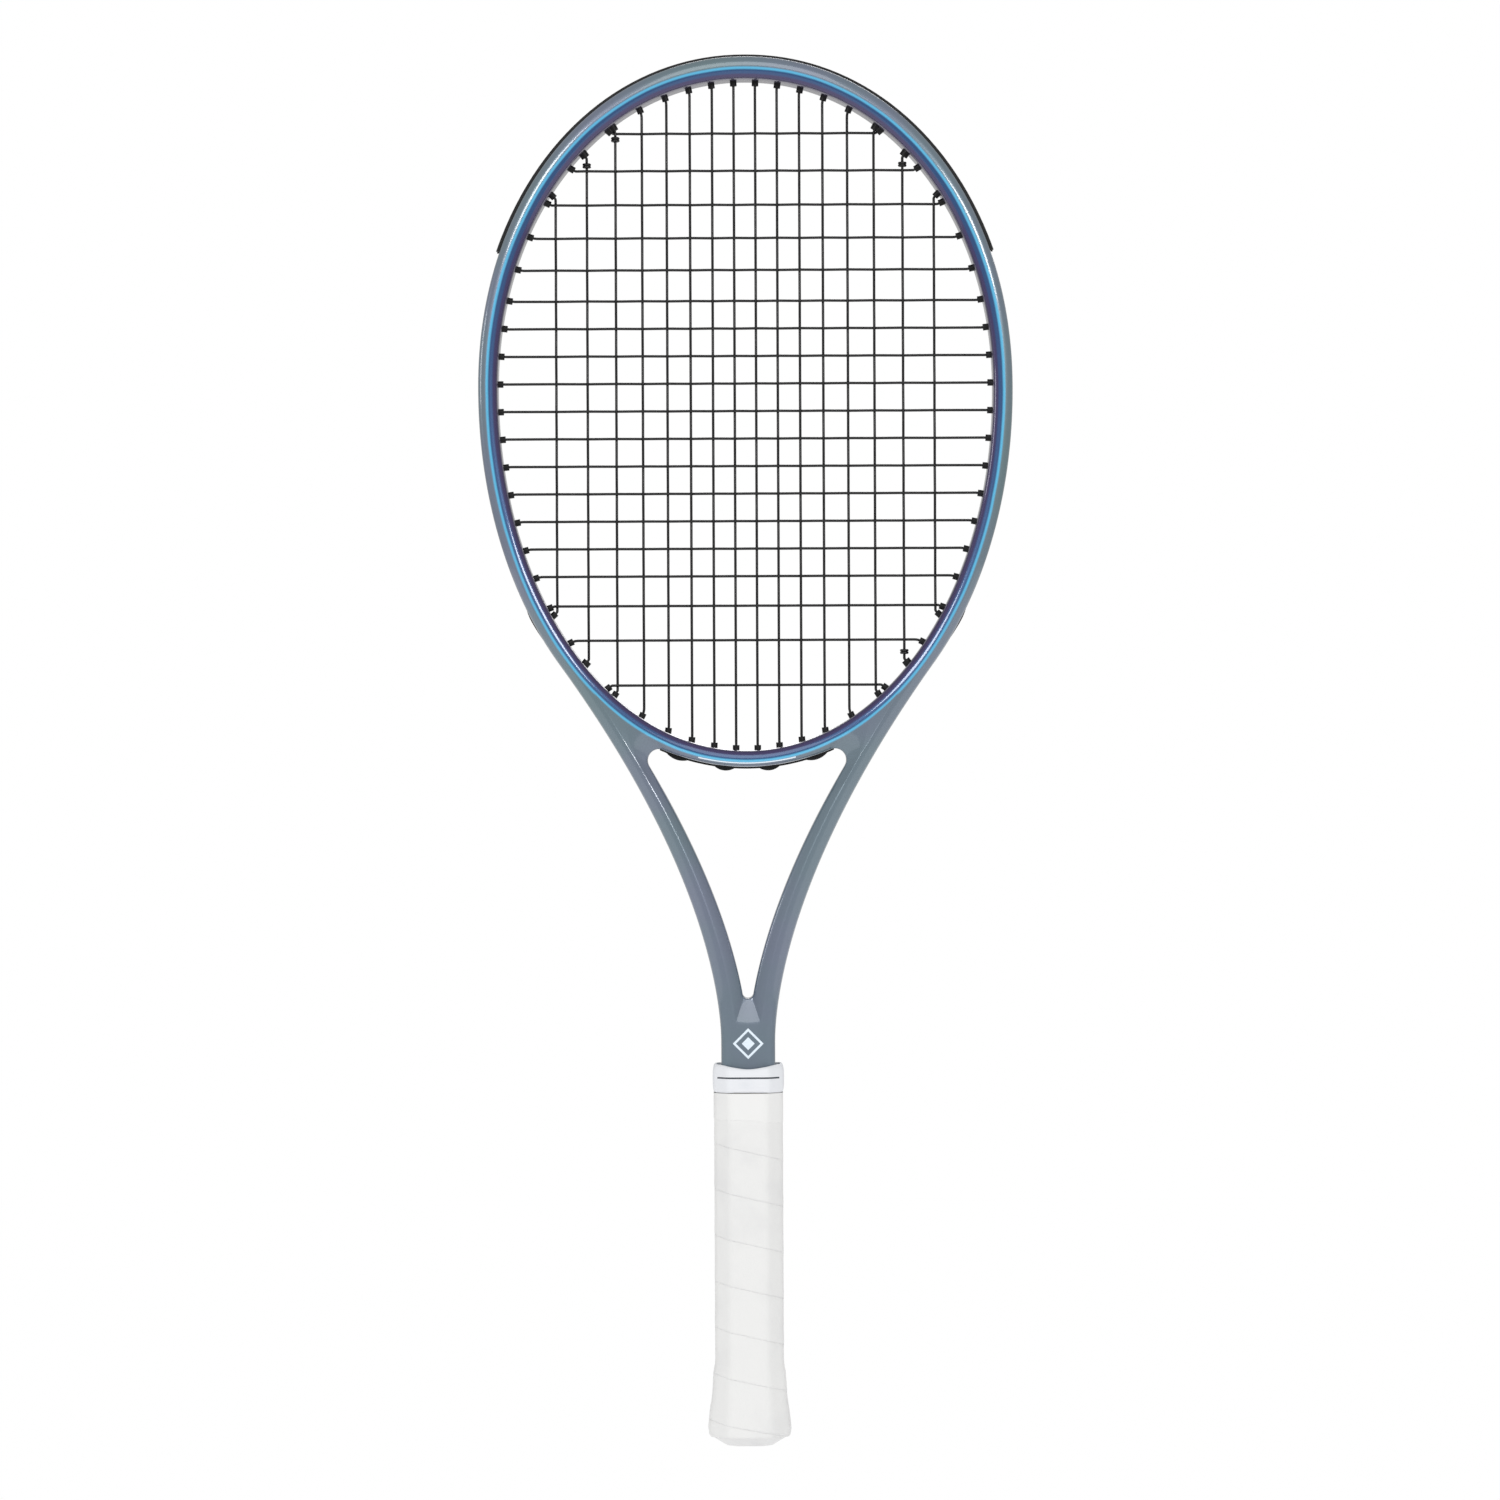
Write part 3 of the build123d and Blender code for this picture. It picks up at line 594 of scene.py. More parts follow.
@dataclass
class Station:
    """One place along an edge of the frame, seen from the front."""
    edge: Vector
    crown: Vector
    zone: Zone
    rim: float
    straight: float
    groove: float = 0.0

    def rows(self, crest: float, wall: float, shares: Sequence[float]) -> list[Vector]:
        """Its points from the middle of the wall to the crown.

        Args:
            crest: the front's distance from the middle plane.
            wall: half the groove's width.
            shares: how far along each row lies between edge and crown.

        Returns:
            The points, front side.
        """
        inwards = (self.crown - self.edge).normalized()
        sunk = self.edge + inwards * self.groove
        out = [(sunk, 0.0), (sunk, wall), (self.edge, wall)]
        for share in shares:
            bulge = (1 - (1 - share) ** 2.3) ** (1 / 2.3)
            hollow = share ** 1.7 if self.zone is Zone.CORNER else share
            rise = blend(bulge, hollow, self.straight)
            out.append((self.edge.lerp(self.crown, share), blend(self.rim, crest, rise)))
        return [Vector((p.x, -depth, p.y)) for p, depth in out]


@dataclass
class FrameSkin:
    """The lacquered moulding: hoop, bridge, legs and shaft in one skin."""
    half_width: float = 122.1
    upper: float = 152.3
    lower: float = 178.5
    upper_power: float = 2.05
    lower_power: float = 2.03
    beam_half: float = 11.5
    width_side: float = 9.65
    width_tip: float = 11.3
    bumper_proud: float = 1.0
    join_angle: float = -46.0
    sweep: float = 1.69
    leg_top: float = 11.3
    leg_bottom: float = 13.2
    shaft_half: float = 13.3
    shaft_top: float = 200.0
    foot: float = 183.5
    bridge_width: float = 8.1
    bridge_camber: float = 0.005
    corner_radius: float = 5.6
    throat_end: float = 220.3
    notch_foot: float = 207.6
    notch_half: float = 6.4
    groove_depth: float = 2.4
    groove_half: float = 3.8
    groove_end: float = 334.0
    throat_groove_half: float = 43.1
    bed_rim: float = 4.1
    hoop_rim: float = 4.3
    leg_rim: float = 3.9
    bridge_rim: float = 3.2
    corner_rim: float = 3.6
    core: tuple[float, float] = (23.0, 19.0)
    core_end: float = 7.0
    shares: Sequence[float] = (0.0, 0.04, 0.1, 0.18, 0.28, 0.4, 0.54, 0.7, 0.86, 1.0)
    bed_top: float = field(init=False)
    bed_centre: float = field(init=False)
    throat_top: float = field(init=False)

    def __post_init__(self) -> None:
        """Work out the bed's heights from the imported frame's top."""
        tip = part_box("frame")[1].z / MM
        self.bed_top = tip - self.width_tip
        self.bed_centre = self.bed_top - self.upper
        self.throat_top = self.bed_centre - self.lower - self.bridge_width

    def bed(self, angle: float) -> tuple[Vector, Vector]:
        """A point of the bed's oval and its outward normal.

        Args:
            angle: the place, 90 at the tip and -90 at the bridge.

        Returns:
            The point and the normal.
        """
        power, half = (self.upper_power, self.upper) if angle >= 0 else (self.lower_power, self.lower)
        c, s = round(math.cos(math.radians(angle)), 12), abs(math.sin(math.radians(angle)))
        u, v, up = c ** (2 / power), s ** (2 / power), math.copysign(1, angle)
        normal = Vector((u ** (power - 1) / self.half_width, up * v ** (power - 1) / half)).normalized()
        return Vector((self.half_width * u, self.bed_centre + up * half * v)), normal

    def hoop_width(self, angle: float) -> float:
        """The hoop's width, which grows towards the tip."""
        return blend(self.width_side, self.width_tip, max(0.0, math.sin(math.radians(angle))) ** 1.5)

    def outside(self, angle: float) -> Vector:
        """The hoop's outer edge at an angle."""
        point, normal = self.bed(angle)
        return point + normal * self.hoop_width(angle)

    def leg_outer(self, z: float) -> tuple[Vector, Vector]:
        """The leg's outer edge and the normal into the leg, at a height."""
        join = self.outside(self.join_angle)
        reach, span = join.x - self.shaft_half, join.y - self.shaft_top
        h = max(z - self.shaft_top, 0.0) / span
        slope = self.sweep * reach / span * h ** (self.sweep - 1)
        return Vector((self.shaft_half + reach * h ** self.sweep, z)), Vector((-1.0, slope)).normalized()

    def leg_width(self, z: float) -> float:
        """The leg's width at a height."""
        share = (z - self.shaft_top) / (self.throat_top - self.shaft_top)
        return blend(self.leg_bottom, self.leg_top, min(max(share, 0.0), 1.0))

    def leg_inner(self, z: float) -> tuple[Vector, Vector]:
        """The leg's inner edge and the normal into the leg, at a height."""
        here = self.leg_outer(z)[0].x - self.leg_width(z)
        above = self.leg_outer(z + 0.5)[0].x - self.leg_width(z + 0.5)
        return Vector((here, z)), Vector((1.0, (here - above) / 0.5)).normalized()

    def under(self, x: float) -> float:
        """The height of the bridge's underside."""
        return self.throat_top + self.bridge_camber * x * x

    def corner(self) -> tuple[float, Vector, float]:
        """Where the throat's upper corner leaves the leg, its centre, and where it meets the bridge."""
        low, high, found = self.throat_end + 20, self.throat_top + 12, None
        for _ in range(40):
            z = (low + high) / 2
            point, normal = self.leg_inner(z)
            centre = point - normal * self.corner_radius
            spots = [centre.x - 12 + 0.05 * i for i in range(400)]
            gap, x = min((math.hypot(x - centre.x, self.under(x) - centre.y), x) for x in spots)
            low, high = (low, z) if centre.y > self.under(centre.x) or gap < self.corner_radius else (z, high)
            found = z, centre, x
        return found

    def bed_reach(self, angle: float) -> float:
        """How far the bed's rounding runs onto the front at an angle."""
        share = ease(self.join_angle - 6, self.join_angle - 24, angle)
        return blend(self.hoop_width(angle) * 0.53, self.bridge_width * 0.56, share)

    def outer_reach(self, z: float) -> float:
        """How far the leg's outer rounding runs onto the front at a height."""
        join = self.outside(self.join_angle).y
        reach = blend(self.width_side * 0.44, self.leg_width(z) * 0.5 - 0.12, ease(join, join - 25, z))
        return blend(reach, 4.2, ease(self.throat_end + 4, self.notch_foot + 2, z))

    def throat_station(self, edge: Vector, normal: Vector, reach: float, zone: Zone, rim: float,
                       straight: float) -> Station:
        """A throat station whose crown keeps clear of the bed's and the leg's roundings.

        Args:
            edge: its place on the edge.
            normal: the way into the frame.
            reach: how far it would run at most.
            zone: what it belongs to.
            rim: the edge's distance from the middle plane.
            straight: how straight its slope is, 0 to 1.

        Returns:
            The station.
        """
        for _ in range(80):
            crown = edge + normal * reach
            bed_room = self.bed_distance(Vector((crown.x, 0, crown.y))) - self.bridge_width * 0.56
            bed_room -= 0.6 * ease(30, 56, crown.x)
            leg_edge, leg_normal = self.leg_outer(crown.y)
            leg_room = (crown - leg_edge).dot(leg_normal) - self.outer_reach(crown.y)
            if min(bed_room, leg_room) > 0.28:
                break
            reach *= 0.98
        return Station(edge, edge + normal * reach, zone, rim, straight)

    def bed_stations(self) -> list[Station]:
        """The bed's edge, from the tip down to the middle of the bridge."""
        out = []
        for i in range(141):
            angle = 90 - 180 * i / 140
            point, normal = self.bed(angle)
            zone = Zone.HOOP if angle > self.join_angle else Zone.BRIDGE
            crown = point + normal * self.bed_reach(angle)
            out.append(Station(point, crown, zone, self.beam_half - self.bed_rim, 0.16))
        return out

    def outer_stations(self) -> list[Station]:
        """The outer edge, from the tip down to the middle of the foot."""
        out = []
        for i in range(106):
            angle = 90 - (90 - self.join_angle) * i / 105
            point, normal = self.bed(angle)
            width = self.hoop_width(angle)
            edge = point + normal * width
            crown = edge - normal * width * 0.44
            out.append(Station(edge, crown, Zone.HOOP, self.beam_half - self.hoop_rim, 0.16))
        join = self.outside(self.join_angle).y
        for i in range(1, 71):
            z = join + (self.shaft_top - join) * i / 70
            edge, normal = self.leg_outer(z)
            crown = edge + normal * self.outer_reach(z)
            out.append(Station(edge, crown, Zone.LEG, self.beam_half - self.leg_rim, 0.10))
        side = Vector((-1.0, 0.0))
        for z in (196.0, 191.0, 187.0, self.foot):
            edge = Vector((self.shaft_half, z))
            out.append(Station(edge, edge + side * 4.2, Zone.SHAFT, self.beam_half - self.leg_rim, 0.10))
        for station in out:
            station.groove = self.groove_depth if station.edge.y > self.groove_end else 0.0
        return out

    def throat_stations(self) -> list[Station]:
        """The throat's edge, from the middle of the bridge round to the middle of the notch."""
        out = []
        z_leg, centre, foot = self.corner()
        for i in range(31):
            x = foot * i / 30
            edge = Vector((x, self.under(x)))
            normal = Vector((-2 * self.bridge_camber * x, 1.0)).normalized()
            reach = blend(self.bridge_width * 0.40, 6.2, ease(foot - 16, foot, x))
            hollow = ease(foot - 14, foot, x)
            station = self.throat_station(edge, normal, reach, Zone.BRIDGE,
                                          self.beam_half - self.bridge_rim, blend(0.15, 0.6, hollow))
            station.groove = self.groove_depth if x < self.throat_groove_half else 0.0
            out.append(station)
        start = out[-1].edge - centre
        leg_edge, leg_normal = self.leg_inner(z_leg)
        turn = start.angle_signed(leg_edge - centre)
        for i in range(1, 14):
            share = i / 13
            spoke = (Matrix.Rotation(-turn * share, 2) @ start).normalized()
            reach = 6.2 + 3.4 * math.sin(math.pi * share) - 0.5 * share
            edge = centre + spoke * self.corner_radius
            out.append(self.throat_station(edge, spoke, reach, Zone.CORNER,
                                           self.beam_half - self.corner_rim, 0.7))
        radius = self.notch_radius()
        low = self.throat_end + radius
        for i in range(1, 61):
            z = z_leg + (low - z_leg) * i / 60
            edge, normal = self.leg_inner(z)
            zone = Zone.CORNER if i < 5 else Zone.LEG
            out.append(self.throat_station(edge, normal, self.leg_width(z) * 0.6, zone,
                                           self.beam_half - self.leg_rim, 0.62))
        ridge = out[-1].crown
        heel = Vector((self.notch_half, self.notch_foot))
        for i in range(1, 11):
            angle = math.radians(9.0 * i)
            edge = Vector((radius * math.cos(angle), low - radius * math.sin(angle)))
            toe = Vector((0.0, self.notch_foot - 0.5))
            crown = ridge.lerp(heel, i / 5) if i <= 5 else heel.lerp(toe, (i - 5) / 5)
            straight = blend(0.62, 0.93, min(i / 5, 1.0))
            out.append(Station(edge, crown, Zone.NOTCH, self.beam_half - self.leg_rim, straight))
        return out

    def notch_radius(self) -> float:
        """The radius of the throat's foot."""
        radius = 1.0
        for _ in range(20):
            radius = self.leg_inner(self.throat_end + radius)[0].x
        return radius

    def build(self) -> bpy.types.Object:
        """Make the skin: one quarter, mirrored to the left and to the back.

        Returns:
            The object, with each point's distance from the bed's edge.
        """
        piece = Piece("frame_moulding")
        crowns = []
        for stations in (self.outer_stations(), self.throat_stations(), self.bed_stations()):
            rows = list(zip(*[s.rows(self.beam_half, self.groove_half, self.shares) for s in stations]))
            row = piece.chain(rows[0])
            for points in rows[1:]:
                row = piece.grow(row, points)
            crowns.append(row)
            self.mark_creases(piece, stations, rows)
        outer, throat, bed = crowns
        bmesh.ops.remove_doubles(piece.mesh, verts=piece.mesh.verts[:], dist=0.0002)
        foot = piece.mesh.verts.new((0.0, -self.beam_half, self.foot))
        loop = [v for v in [*outer, foot, *throat[::-1], *bed[::-1]] if v.is_valid]
        face = piece.mesh.faces.new(loop)
        face.normal_update()
        bmesh.ops.triangulate(piece.mesh, faces=[face], ngon_method="EAR_CLIP")
        piece.mirror("X")
        piece.mirror("Y")
        self.add_core(piece)
        made = piece.object(merge=0.0004)
        measure(made, "bed_distance", self.bed_distance)
        return made

    @staticmethod
    def mark_creases(piece: Piece, stations: Sequence[Station], rows: Sequence[Sequence[Vector]]) -> None:
        """Keep the groove's corners and the notch's facet crisp.

        Args:
            piece: the piece that holds the rows.
            stations: the edge's stations.
            rows: the places of every row.
        """
        creases = {tuple(round(c, 4) for c in p) for row in rows[:3] for p in row}
        notch = [i for i, s in enumerate(stations) if s.zone is Zone.NOTCH]
        spoke = {tuple(round(c, 4) for c in row[notch[4]]) for row in rows} if notch else set()
        piece.mesh.verts.ensure_lookup_table()
        for edge in piece.mesh.edges:
            ends = [tuple(round(c, 4) for c in v.co) for v in edge.verts]
            flat = abs(edge.verts[0].co.y - edge.verts[1].co.y) < 0.01
            if all(e in spoke for e in ends) or (flat and all(e in creases for e in ends)):
                edge.smooth = False

    def add_core(self, piece: Piece) -> None:
        """Add the slimmer core that runs down inside the handle.

        Args:
            piece: the skin.
        """
        height = self.foot - self.core_end
        middle = Matrix.Translation((0, 0, self.core_end + height / 2))
        place = middle @ Matrix.Diagonal((*self.core, height, 1.0))
        verts = bmesh.ops.create_cube(piece.mesh, size=1.0, matrix=place)["verts"]
        upright = [e for e in {e for v in verts for e in v.link_edges}
                   if abs(e.verts[0].co.z - e.verts[1].co.z) > 1]
        bmesh.ops.bevel(piece.mesh, geom=upright, offset=3.0, offset_type="OFFSET", affect="EDGES",
                        segments=4, profile=0.5, material=-1)

    def bed_distance(self, place: Vector) -> float:
        """How far a place lies outside the bed's oval, in millimetres.

        Args:
            place: a place on the frame.

        Returns:
            The distance, nearly exact near the edge.
        """
        power, half = ((self.upper_power, self.upper) if place.z >= self.bed_centre
                       else (self.lower_power, self.lower))
        x, z = abs(place.x), abs(place.z - self.bed_centre)
        size = ((x / self.half_width) ** power + (z / half) ** power) ** (1 / power)
        slope = math.hypot((x / self.half_width) ** (power - 1) / self.half_width,
                           (z / half) ** (power - 1) / half) * size ** (1 - power)
        return min((size - 1) / slope, 60.0)


# ------------------------------------------------------------------ handle

@dataclass(frozen=True)
class HandleShape:
    """The eight-sided handle under its wrap."""
    half_width: float = 15.2
    half_depth: float = 13.2
    bevel: float = 7.0
    sharpness: float = 34.0
    flare: Sequence[Point] = ((0.0, -4.2), (2.4, -0.5), (4.6, 2.9), (9.0, 3.6), (16.0, 2.8), (24.0, 1.6),
                              (36.0, 0.9), (40.0, 0.0))

    def growth(self, z: float) -> float:
        """How far the butt's flare stands outside the handle at a height."""
        for (z0, g0), (z1, g1) in zip(self.flare, self.flare[1:]):
            if z <= z1:
                return blend(g0, g1, min(max((z - z0) / (z1 - z0), 0.0), 1.0))
        return 0.0

    def radius(self, angle: float, grow: float, bevel: Optional[float] = None) -> float:
        """The distance from the handle's axis to its skin.

        Args:
            angle: the direction, in radians.
            grow: how far the skin stands outside the bare handle.
            bevel: the corner's cut, if it isn't the handle's own.

        Returns:
            The distance, with softly rounded corners.
        """
        width, depth = self.half_width + grow, self.half_depth + grow
        cut = (width + depth - (bevel or self.bevel) - 0.586 * grow) / math.sqrt(2)
        total = 0.0
        for i in range(8):
            reach = (width, cut, depth, cut)[i % 4]
            total += max(math.cos(angle - i * math.pi / 4), 0.0) ** self.sharpness / reach ** self.sharpness
        return total ** (-1 / self.sharpness)

    def point(self, angle: float, z: float, grow: float, bevel: Optional[float] = None) -> Vector:
        """A place on the handle's skin."""
        r = self.radius(angle, grow, bevel)
        return Vector((r * math.cos(angle), r * math.sin(angle), z))


@dataclass
class WoundStrip:
    """A strip wound up the handle, each turn over the last one's edge."""
    name: str
    slot: str
    node: str
    finish: WrapFinish
    low: float
    high: float
    width: float
    pitch: float
    thickness: float
    under: float
    lap: float
    lap_rise: float
    start: float
    turns: float
    handle: HandleShape = field(default_factory=HandleShape)
    around: float = 104.5
    steps_per_turn: int = 64
    shares: Sequence[float] = (0.0, 0.012, 0.03, 0.06, 0.1, 0.16, 0.25, 0.4, 0.55, 0.7, 0.8, 0.86, 0.9,
                               0.95, 1.0)

    def lift(self, share: float) -> float:
        """How far the strip's face is raised where it lies on the turn below.

        Args:
            share: the place across the strip, 0 at its lower edge.

        Returns:
            The rise.
        """
        edge = (1 - (1 - min(share / 0.03, 1.0)) ** 2) ** 0.5
        on_top = 1 - ease(self.lap, self.lap * 2.6, share)
        tucked = ease(1 - self.lap * 1.15, 1 - self.lap * 0.7, share)
        return self.lap_rise * (on_top - 1) * 0.6 - self.lap_rise * (1 - edge) - tucked * self.thickness * 0.4

    def back_shares(self) -> list[float]:
        """The places across the strip that its plainer inside has points at."""
        return [s for s in self.shares if s in self.shares[::3] or s == self.shares[-1]]

    def wound(self, rings: Sequence[Sequence[Vector]], first: float = 0.0,
              reach: float = 1.0) -> bpy.types.Object:
        """Join sections into the strip and store each point's place across it.

        Args:
            rings: the sections, in order along the strip.
            first: the number stored at the lower edge.
            reach: how much it grows to the upper edge.

        Returns:
            The object.
        """
        piece = Piece(self.name)
        piece.loft(rings)
        made = piece.object(merge=0.00001)
        across = [*self.shares, *self.back_shares()[::-1]]
        numbers = made.data.attributes.new("across", "FLOAT", "POINT")
        for index, slot in enumerate(numbers.data):
            slot.value = first + reach * across[index % len(across)]
        return made

    def ring(self, turn: float) -> list[Vector]:
        """The strip's section at one place along its winding.

        Args:
            turn: the place, in turns from the start.

        Returns:
            The section's points, outside first and then inside.
        """
        angle = self.start - turn * 2 * math.pi
        foot = self.low - self.width + self.pitch * turn
        low, high = max(foot, self.low), min(foot + self.width, self.high)
        face, back = [], []
        for share in self.shares:
            z = blend(low, high, share)
            base = self.handle.growth(z) + self.under
            top = base + self.thickness + self.lift(max((z - foot) / self.width, 0.0))
            top -= 0.5 * (1 - ease(0.0, 1.2, z - self.low)) ** 2
            face.append(self.handle.point(angle, z, top))
            if share in self.back_shares():
                back.append(self.handle.point(angle, z, base + 0.02))
        return face + back[::-1]

    def build(self) -> bpy.types.Object:
        """Returns:
            The object, with each point's place across the strip.
        """
        spare = 0.6 / self.pitch
        turns = (self.high - self.low + self.width) / self.pitch - 2 * spare
        count = int(turns * self.steps_per_turn)
        return self.wound([self.ring(spare + turns * i / count) for i in range(count + 1)])


@dataclass
class Grip(WoundStrip):
    """The thick base grip, from the butt to the finishing tape."""
    name: str = "wound_base_grip"
    slot: str = "white_grip"
    node: str = "base_grip"
    finish: WrapFinish = GRIP_WRAP
    low: float = 4.6
    high: float = 162.5
    width: float = 25.4
    pitch: float = 22.7
    thickness: float = 1.85
    under: float = 0.0
    lap: float = 0.105
    lap_rise: float = 0.16
    start: float = 0.35
    turns: float = 7.9


@dataclass
class FinishingTape(WoundStrip):
    """The thin tape that closes the wrap under the collar."""
    name: str = "wound_finishing_tape"
    slot: str = "white_tape"
    node: str = "finishing_tape"
    finish: WrapFinish = TAPE_WRAP
    low: float = 159.6
    high: float = 174.0
    width: float = 13.4
    pitch: float = 1.0
    thickness: float = 0.4
    under: float = 1.32
    lap: float = 0.05
    lap_rise: float = 0.1
    start: float = 0.9
    turns: float = 1.75

    def ring(self, turn: float) -> list[Vector]:
        """The tape's section: its turns lie on each other and lean a little."""
        angle = self.start - turn * 2 * math.pi
        foot = self.low + 0.55 * turn - 0.9 * math.cos(angle) + 0.3 * math.sin(3 * angle)
        grow = self.under + 0.16 * turn
        face, back = [], []
        for share in self.shares:
            z = blend(foot, self.high, share)
            soft = 0.12 * (1 - ease(0.0, 0.04, share))
            face.append(self.handle.point(angle, z, grow + self.thickness - soft))
            if share in self.back_shares():
                back.append(self.handle.point(angle, z, grow))
        return face + back[::-1]

    def build(self) -> bpy.types.Object:
        """Make the tape, a turn and three quarters long."""
        count = int(self.turns * self.steps_per_turn)
        return self.wound([self.ring(self.turns * i / count) for i in range(count + 1)], 0.3, 0.3)


@dataclass
class Collar:
    """The rubber collar that hides the end of the tape."""
    handle: HandleShape = field(default_factory=HandleShape)
    bore: float = 0.4
    bevel: float = 6.2
    rim_dip: float = 2.3
    back_dip: float = 1.2
    bore_shares: Sequence[float] = (1.0, 0.85, 0.5, 0.15, 0.0)
    profile: Sequence[Point] = ((0.0, 1.25), (0.03, 1.75), (0.1, 2.1), (0.25, 2.36), (0.45, 2.4), (0.62, 2.4),
                                (0.78, 2.3), (0.9, 2.0), (0.965, 1.6), (1.0, 1.1))

    def build(self) -> bpy.types.Object:
        """Make the collar as rings round the handle, from its bottom to its bowed rim."""
        low, high = (corner.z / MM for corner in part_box("rubber_collar"))
        piece = Piece("rubber_collar_band")
        spokes = [2 * math.pi * i / 96 for i in range(96)]

        def ring(share: float, grow: float) -> list[Vector]:
            """One ring round the handle, at a share of the collar's height."""
            out = []
            for angle in spokes:
                front, back = (max(side * math.sin(angle), 0.0) ** 4 for side in (-1, 1))
                top = high - self.rim_dip * front - self.back_dip * back
                out.append(self.handle.point(angle, blend(low, top, share), grow, self.bevel))
            return out

        rings = [ring(s, g) for s, g in self.profile] + [ring(s, self.bore) for s in self.bore_shares]
        row = first = piece.chain(rings[0], closed=True)
        for points in rings[1:]:
            row = piece.grow(row, points)
        loops = [e for r in (row, first) for v in r for e in v.link_edges if piece.is_open(e)]
        bmesh.ops.bridge_loops(piece.mesh, edges=list(set(loops)))
        return piece.object()


# ------------------------------------------------------------------ marks

@dataclass
class Marks:
    """Plain printed marks: a diamond on the shaft and pin lines on bridge and collar."""
    diamond_height: float = 198.4
    diamond_reach: float = 7.6
    diamond_line: float = 1.1
    bridge_reach: float = 24.0
    collar_line_height: float = 7.4
    line_width: float = 0.8
    line_root: float = 0.4
    ink: float = 0.05

    def diamond(self) -> bpy.types.Object:
        """A diamond outline with a smaller diamond in it, on the shaft's front."""
        piece = Piece("shaft_diamond_mark")
        front = -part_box("frame")[1].y / MM
        for reach, hollow in ((self.diamond_reach, self.diamond_line), (self.diamond_reach * 0.42, 0.0)):
            place = Matrix.Translation((0, front - self.ink, self.diamond_height))
            place = place @ Matrix.Rotation(math.pi / 2, 4, "X")
            verts = bmesh.ops.create_circle(piece.mesh, cap_ends=True, radius=reach, segments=4,
                                            matrix=place)["verts"]
            faces = list({f for v in verts for f in v.link_faces})
            if hollow:
                bmesh.ops.inset_region(piece.mesh, faces=faces, thickness=hollow, use_even_offset=True,
                                       use_boundary=True)
                bmesh.ops.delete(piece.mesh, geom=faces, context="FACES")
        bmesh.ops.recalc_face_normals(piece.mesh, faces=piece.mesh.faces[:])
        grown = bmesh.ops.extrude_face_region(piece.mesh, geom=piece.mesh.faces[:])["geom"]
        moved = [g for g in grown if isinstance(g, bmesh.types.BMVert)]
        bmesh.ops.translate(piece.mesh, verts=moved, vec=(0, self.ink * 1.6, 0))
        return piece.object(smooth=False)

    def bridge_line(self, skin: FrameSkin) -> bpy.types.Object:
        """A pin line along the front of the bridge, between the band and the strip.

        Args:
            skin: the frame that it is printed on.

        Returns:
            The object.
        """
        depth = skin.beam_half - 0.31
        across = [self.bridge_reach * (i / 20 - 1) for i in range(41)]
        return self.pin_line("bridge_pin_line", [Vector((x, -depth, skin.under(x) + 2.0)) for x in across])

    def collar_line(self, collar: "Collar") -> bpy.types.Object:
        """A dark pin line round the front of the collar."""
        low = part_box("rubber_collar")[0].z / MM
        turns = [math.radians(-90 + 56 * (i / 24 - 1)) for i in range(49)]
        points = [collar.handle.point(a, low + self.collar_line_height, 2.38, collar.bevel) for a in turns]
        return self.pin_line("collar_pin_line", points)

    def pin_line(self, name: str, points: Sequence[Vector]) -> bpy.types.Object:
        """A thin printed line along points, standing an ink's thickness proud.

        Args:
            name: the piece's name.
            points: its middle line on the surface.

        Returns:
            The object.
        """
        piece = Piece(name)
        half = self.line_width / 2
        section = ((-self.ink, half), (-self.ink, -half), (self.line_root, -half), (self.line_root, half))
        piece.loft([[p + Vector((0, dy, dz)) for dy, dz in section] for p in points])
        return piece.object(smooth=False)


# ------------------------------------------------------------------ studio

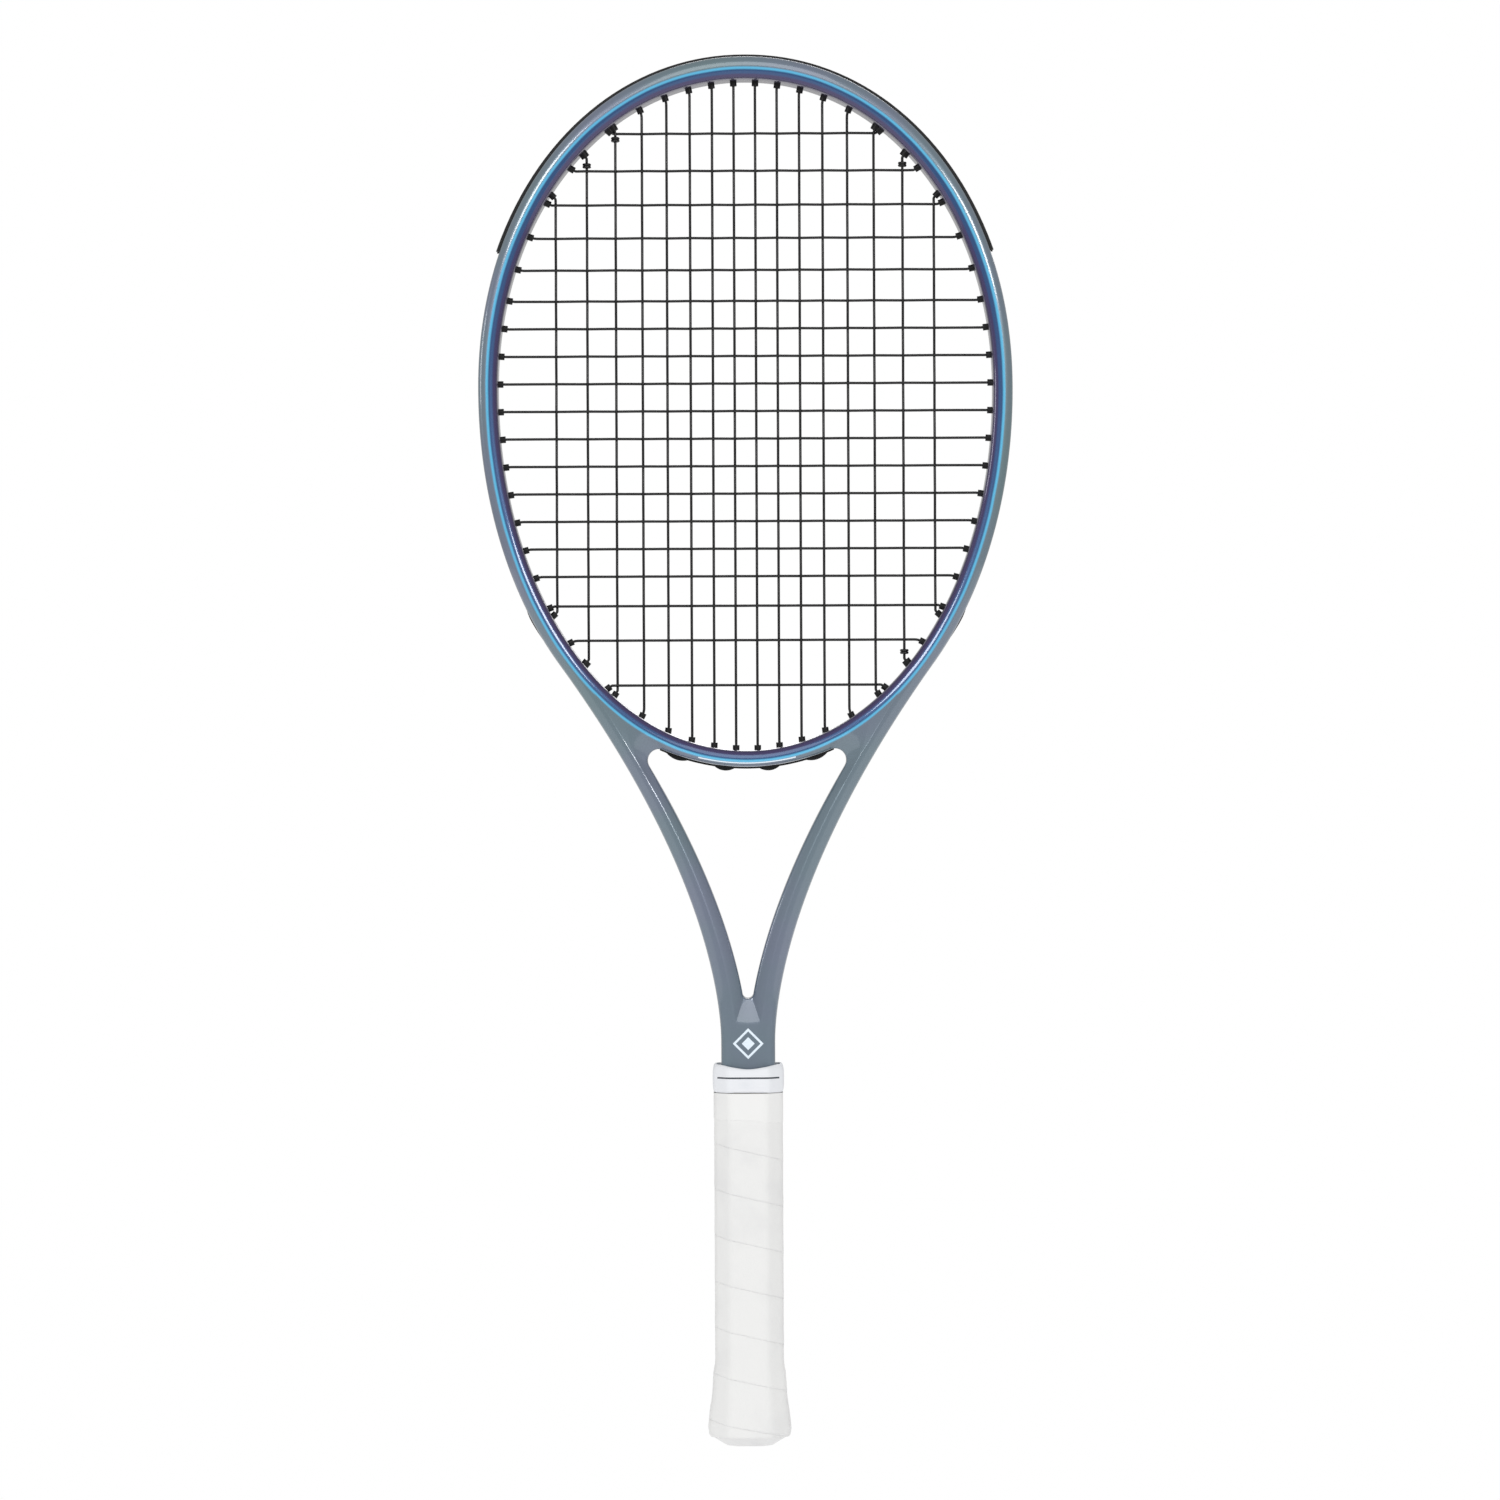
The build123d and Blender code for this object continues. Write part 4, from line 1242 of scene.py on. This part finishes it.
@dataclass
class Studio:
    """Floor, lamps and camera."""
    camera_distance: float = 2.8
    lens: float = 136.0
    camera_side: float = 0.0015
    roll: float = 0.245
    floor_size: float = 3.0
    ambient: float = 0.5

    def floor(self) -> None:
        """A plain pale floor under the butt."""
        piece = Piece("floor")
        bmesh.ops.create_grid(piece.mesh, x_segments=8, y_segments=8, size=self.floor_size / 2 / MM)
        made = piece.object()
        made.data.transform(Matrix.Translation((0, 0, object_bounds()[0][2] - 0.0005)))
        made.data.materials.append(PaperFinish().make())
        made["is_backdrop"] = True

    def lamp(self, name: str, place: Vector, aim: Vector, size: float, watts: float) -> None:
        """A square soft lamp.

        Args:
            name: its name.
            place: where it stands.
            aim: what it points at.
            size: its side.
            watts: its power.
        """
        data = bpy.data.lights.new(name, "AREA")
        data.size, data.energy = size, watts
        made = bpy.data.objects.new(name, data)
        turn = (aim - place).to_track_quat("-Z", "Y").to_matrix().to_4x4()
        made.matrix_world = Matrix.Translation(place) @ turn
        bpy.context.scene.collection.objects.link(made)

    def light(self) -> None:
        """Soft light from both sides and above, on a white surround."""
        world = bpy.data.worlds.new("studio")
        world.use_nodes = True
        tree = world.node_tree
        tree.nodes.clear()
        ambient = tree.nodes.new("ShaderNodeBackground")
        ambient.inputs["Strength"].default_value = self.ambient
        white = tree.nodes.new("ShaderNodeBackground")
        ray, mixer, out = (tree.nodes.new(k) for k in
                           ("ShaderNodeLightPath", "ShaderNodeMixShader", "ShaderNodeOutputWorld"))
        for background in (ambient, white):
            background.inputs["Color"].default_value = (1, 1, 1, 1)
        tree.links.new(ray.outputs["Is Camera Ray"], mixer.inputs[0])
        tree.links.new(ambient.outputs[0], mixer.inputs[1])
        tree.links.new(white.outputs[0], mixer.inputs[2])
        tree.links.new(mixer.outputs[0], out.inputs[0])
        bpy.context.scene.world = world
        aim = Vector((0, 0, 0.4))
        self.lamp("left lamp", Vector((-1.2, -2.3, 1.5)), aim, 0.6, 15.0)
        self.lamp("right lamp", Vector((1.35, -2.2, 1.3)), aim, 0.55, 15.0)
        self.lamp("side lamp", Vector((-2.7, -0.3, 0.9)), aim, 0.6, 5.0)
        self.lamp("front lamp", Vector((0.0, -2.6, 2.3)), aim, 1.5, 14.0)
        self.lamp("back lamp", Vector((0.3, 2.2, 1.6)), aim, 1.4, 20.0)

    def camera(self) -> None:
        """A long lens straight at the strings, level with the racket's middle."""
        low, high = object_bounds()
        data = bpy.data.cameras.new("camera")
        data.lens, data.sensor_width = self.lens, 36.0
        made = bpy.data.objects.new("camera", data)
        place = Vector((self.camera_side, -self.camera_distance, (low[2] + high[2]) / 2))
        made.matrix_world = (Matrix.Translation(place) @ Matrix.Rotation(math.pi / 2, 4, "X")
                             @ Matrix.Rotation(math.radians(-self.roll), 4, "Z"))
        bpy.context.scene.collection.objects.link(made)
        bpy.context.scene.camera = made

    def build(self) -> None:
        """Set the studio up."""
        bpy.context.scene.view_settings.view_transform = "Standard"
        self.floor()
        self.light()
        self.camera()


# ------------------------------------------------------------------ assembly

def dress_nodes(nodes: dict[str, bpy.types.Object]) -> None:
    """Give every working-model node that stays visible its finish.

    Args:
        nodes: the loaded nodes.
    """
    nylon, string = BLACK_NYLON.make(), StringFinish().make()
    plastic, foam, wire = CAP_PLASTIC.make(), FOAM.make(), WireFinish().make()
    finishes = {
        "bumper_guard": nylon, "side_grommet_strip_right": nylon, "side_grommet_strip_left": nylon,
        "throat_grommet_strip": nylon, "main_string": string, "cross_string": string,
        "tie_off_knots": string, "handle_pallet_front": foam, "handle_pallet_back": foam,
        "butt_cap": plastic, "butt_plug": plastic, "butt_cap_staples": wire,
    }
    for name, material in finishes.items():
        data = nodes[name].data
        data.materials.clear()
        data.materials.append(material)


def main() -> None:
    """Build the racket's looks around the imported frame."""
    logging.basicConfig(level=logging.INFO, format="%(message)s")
    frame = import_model()
    dress_nodes(frame["nodes"])

    skin = FrameSkin()
    lacquer = Lacquer().make()
    place_piece(skin.build(), Body.RACKET, lacquer, ["frame", "throat_bridge"])

    for strip in (Grip(), FinishingTape()):
        piece = place_piece(strip.build(), Body.RACKET, strip.finish.make(), [strip.node])
    collar = Collar()
    place_piece(collar.build(), Body.COLLAR, RUBBER.make(), ["rubber_collar"])

    marks = Marks()
    white_ink = InkFinish("white ink", linear(226, 238, 248), linear(196, 210, 224)).make()
    slate_ink = InkFinish("slate ink", linear(52, 58, 66), linear(82, 88, 97)).make()
    place_piece(marks.diamond(), Body.RACKET, white_ink)
    place_piece(marks.bridge_line(skin), Body.RACKET, white_ink)
    place_piece(marks.collar_line(collar), Body.COLLAR, slate_ink)

    Studio().build()


if __name__ == "__main__":
    main()
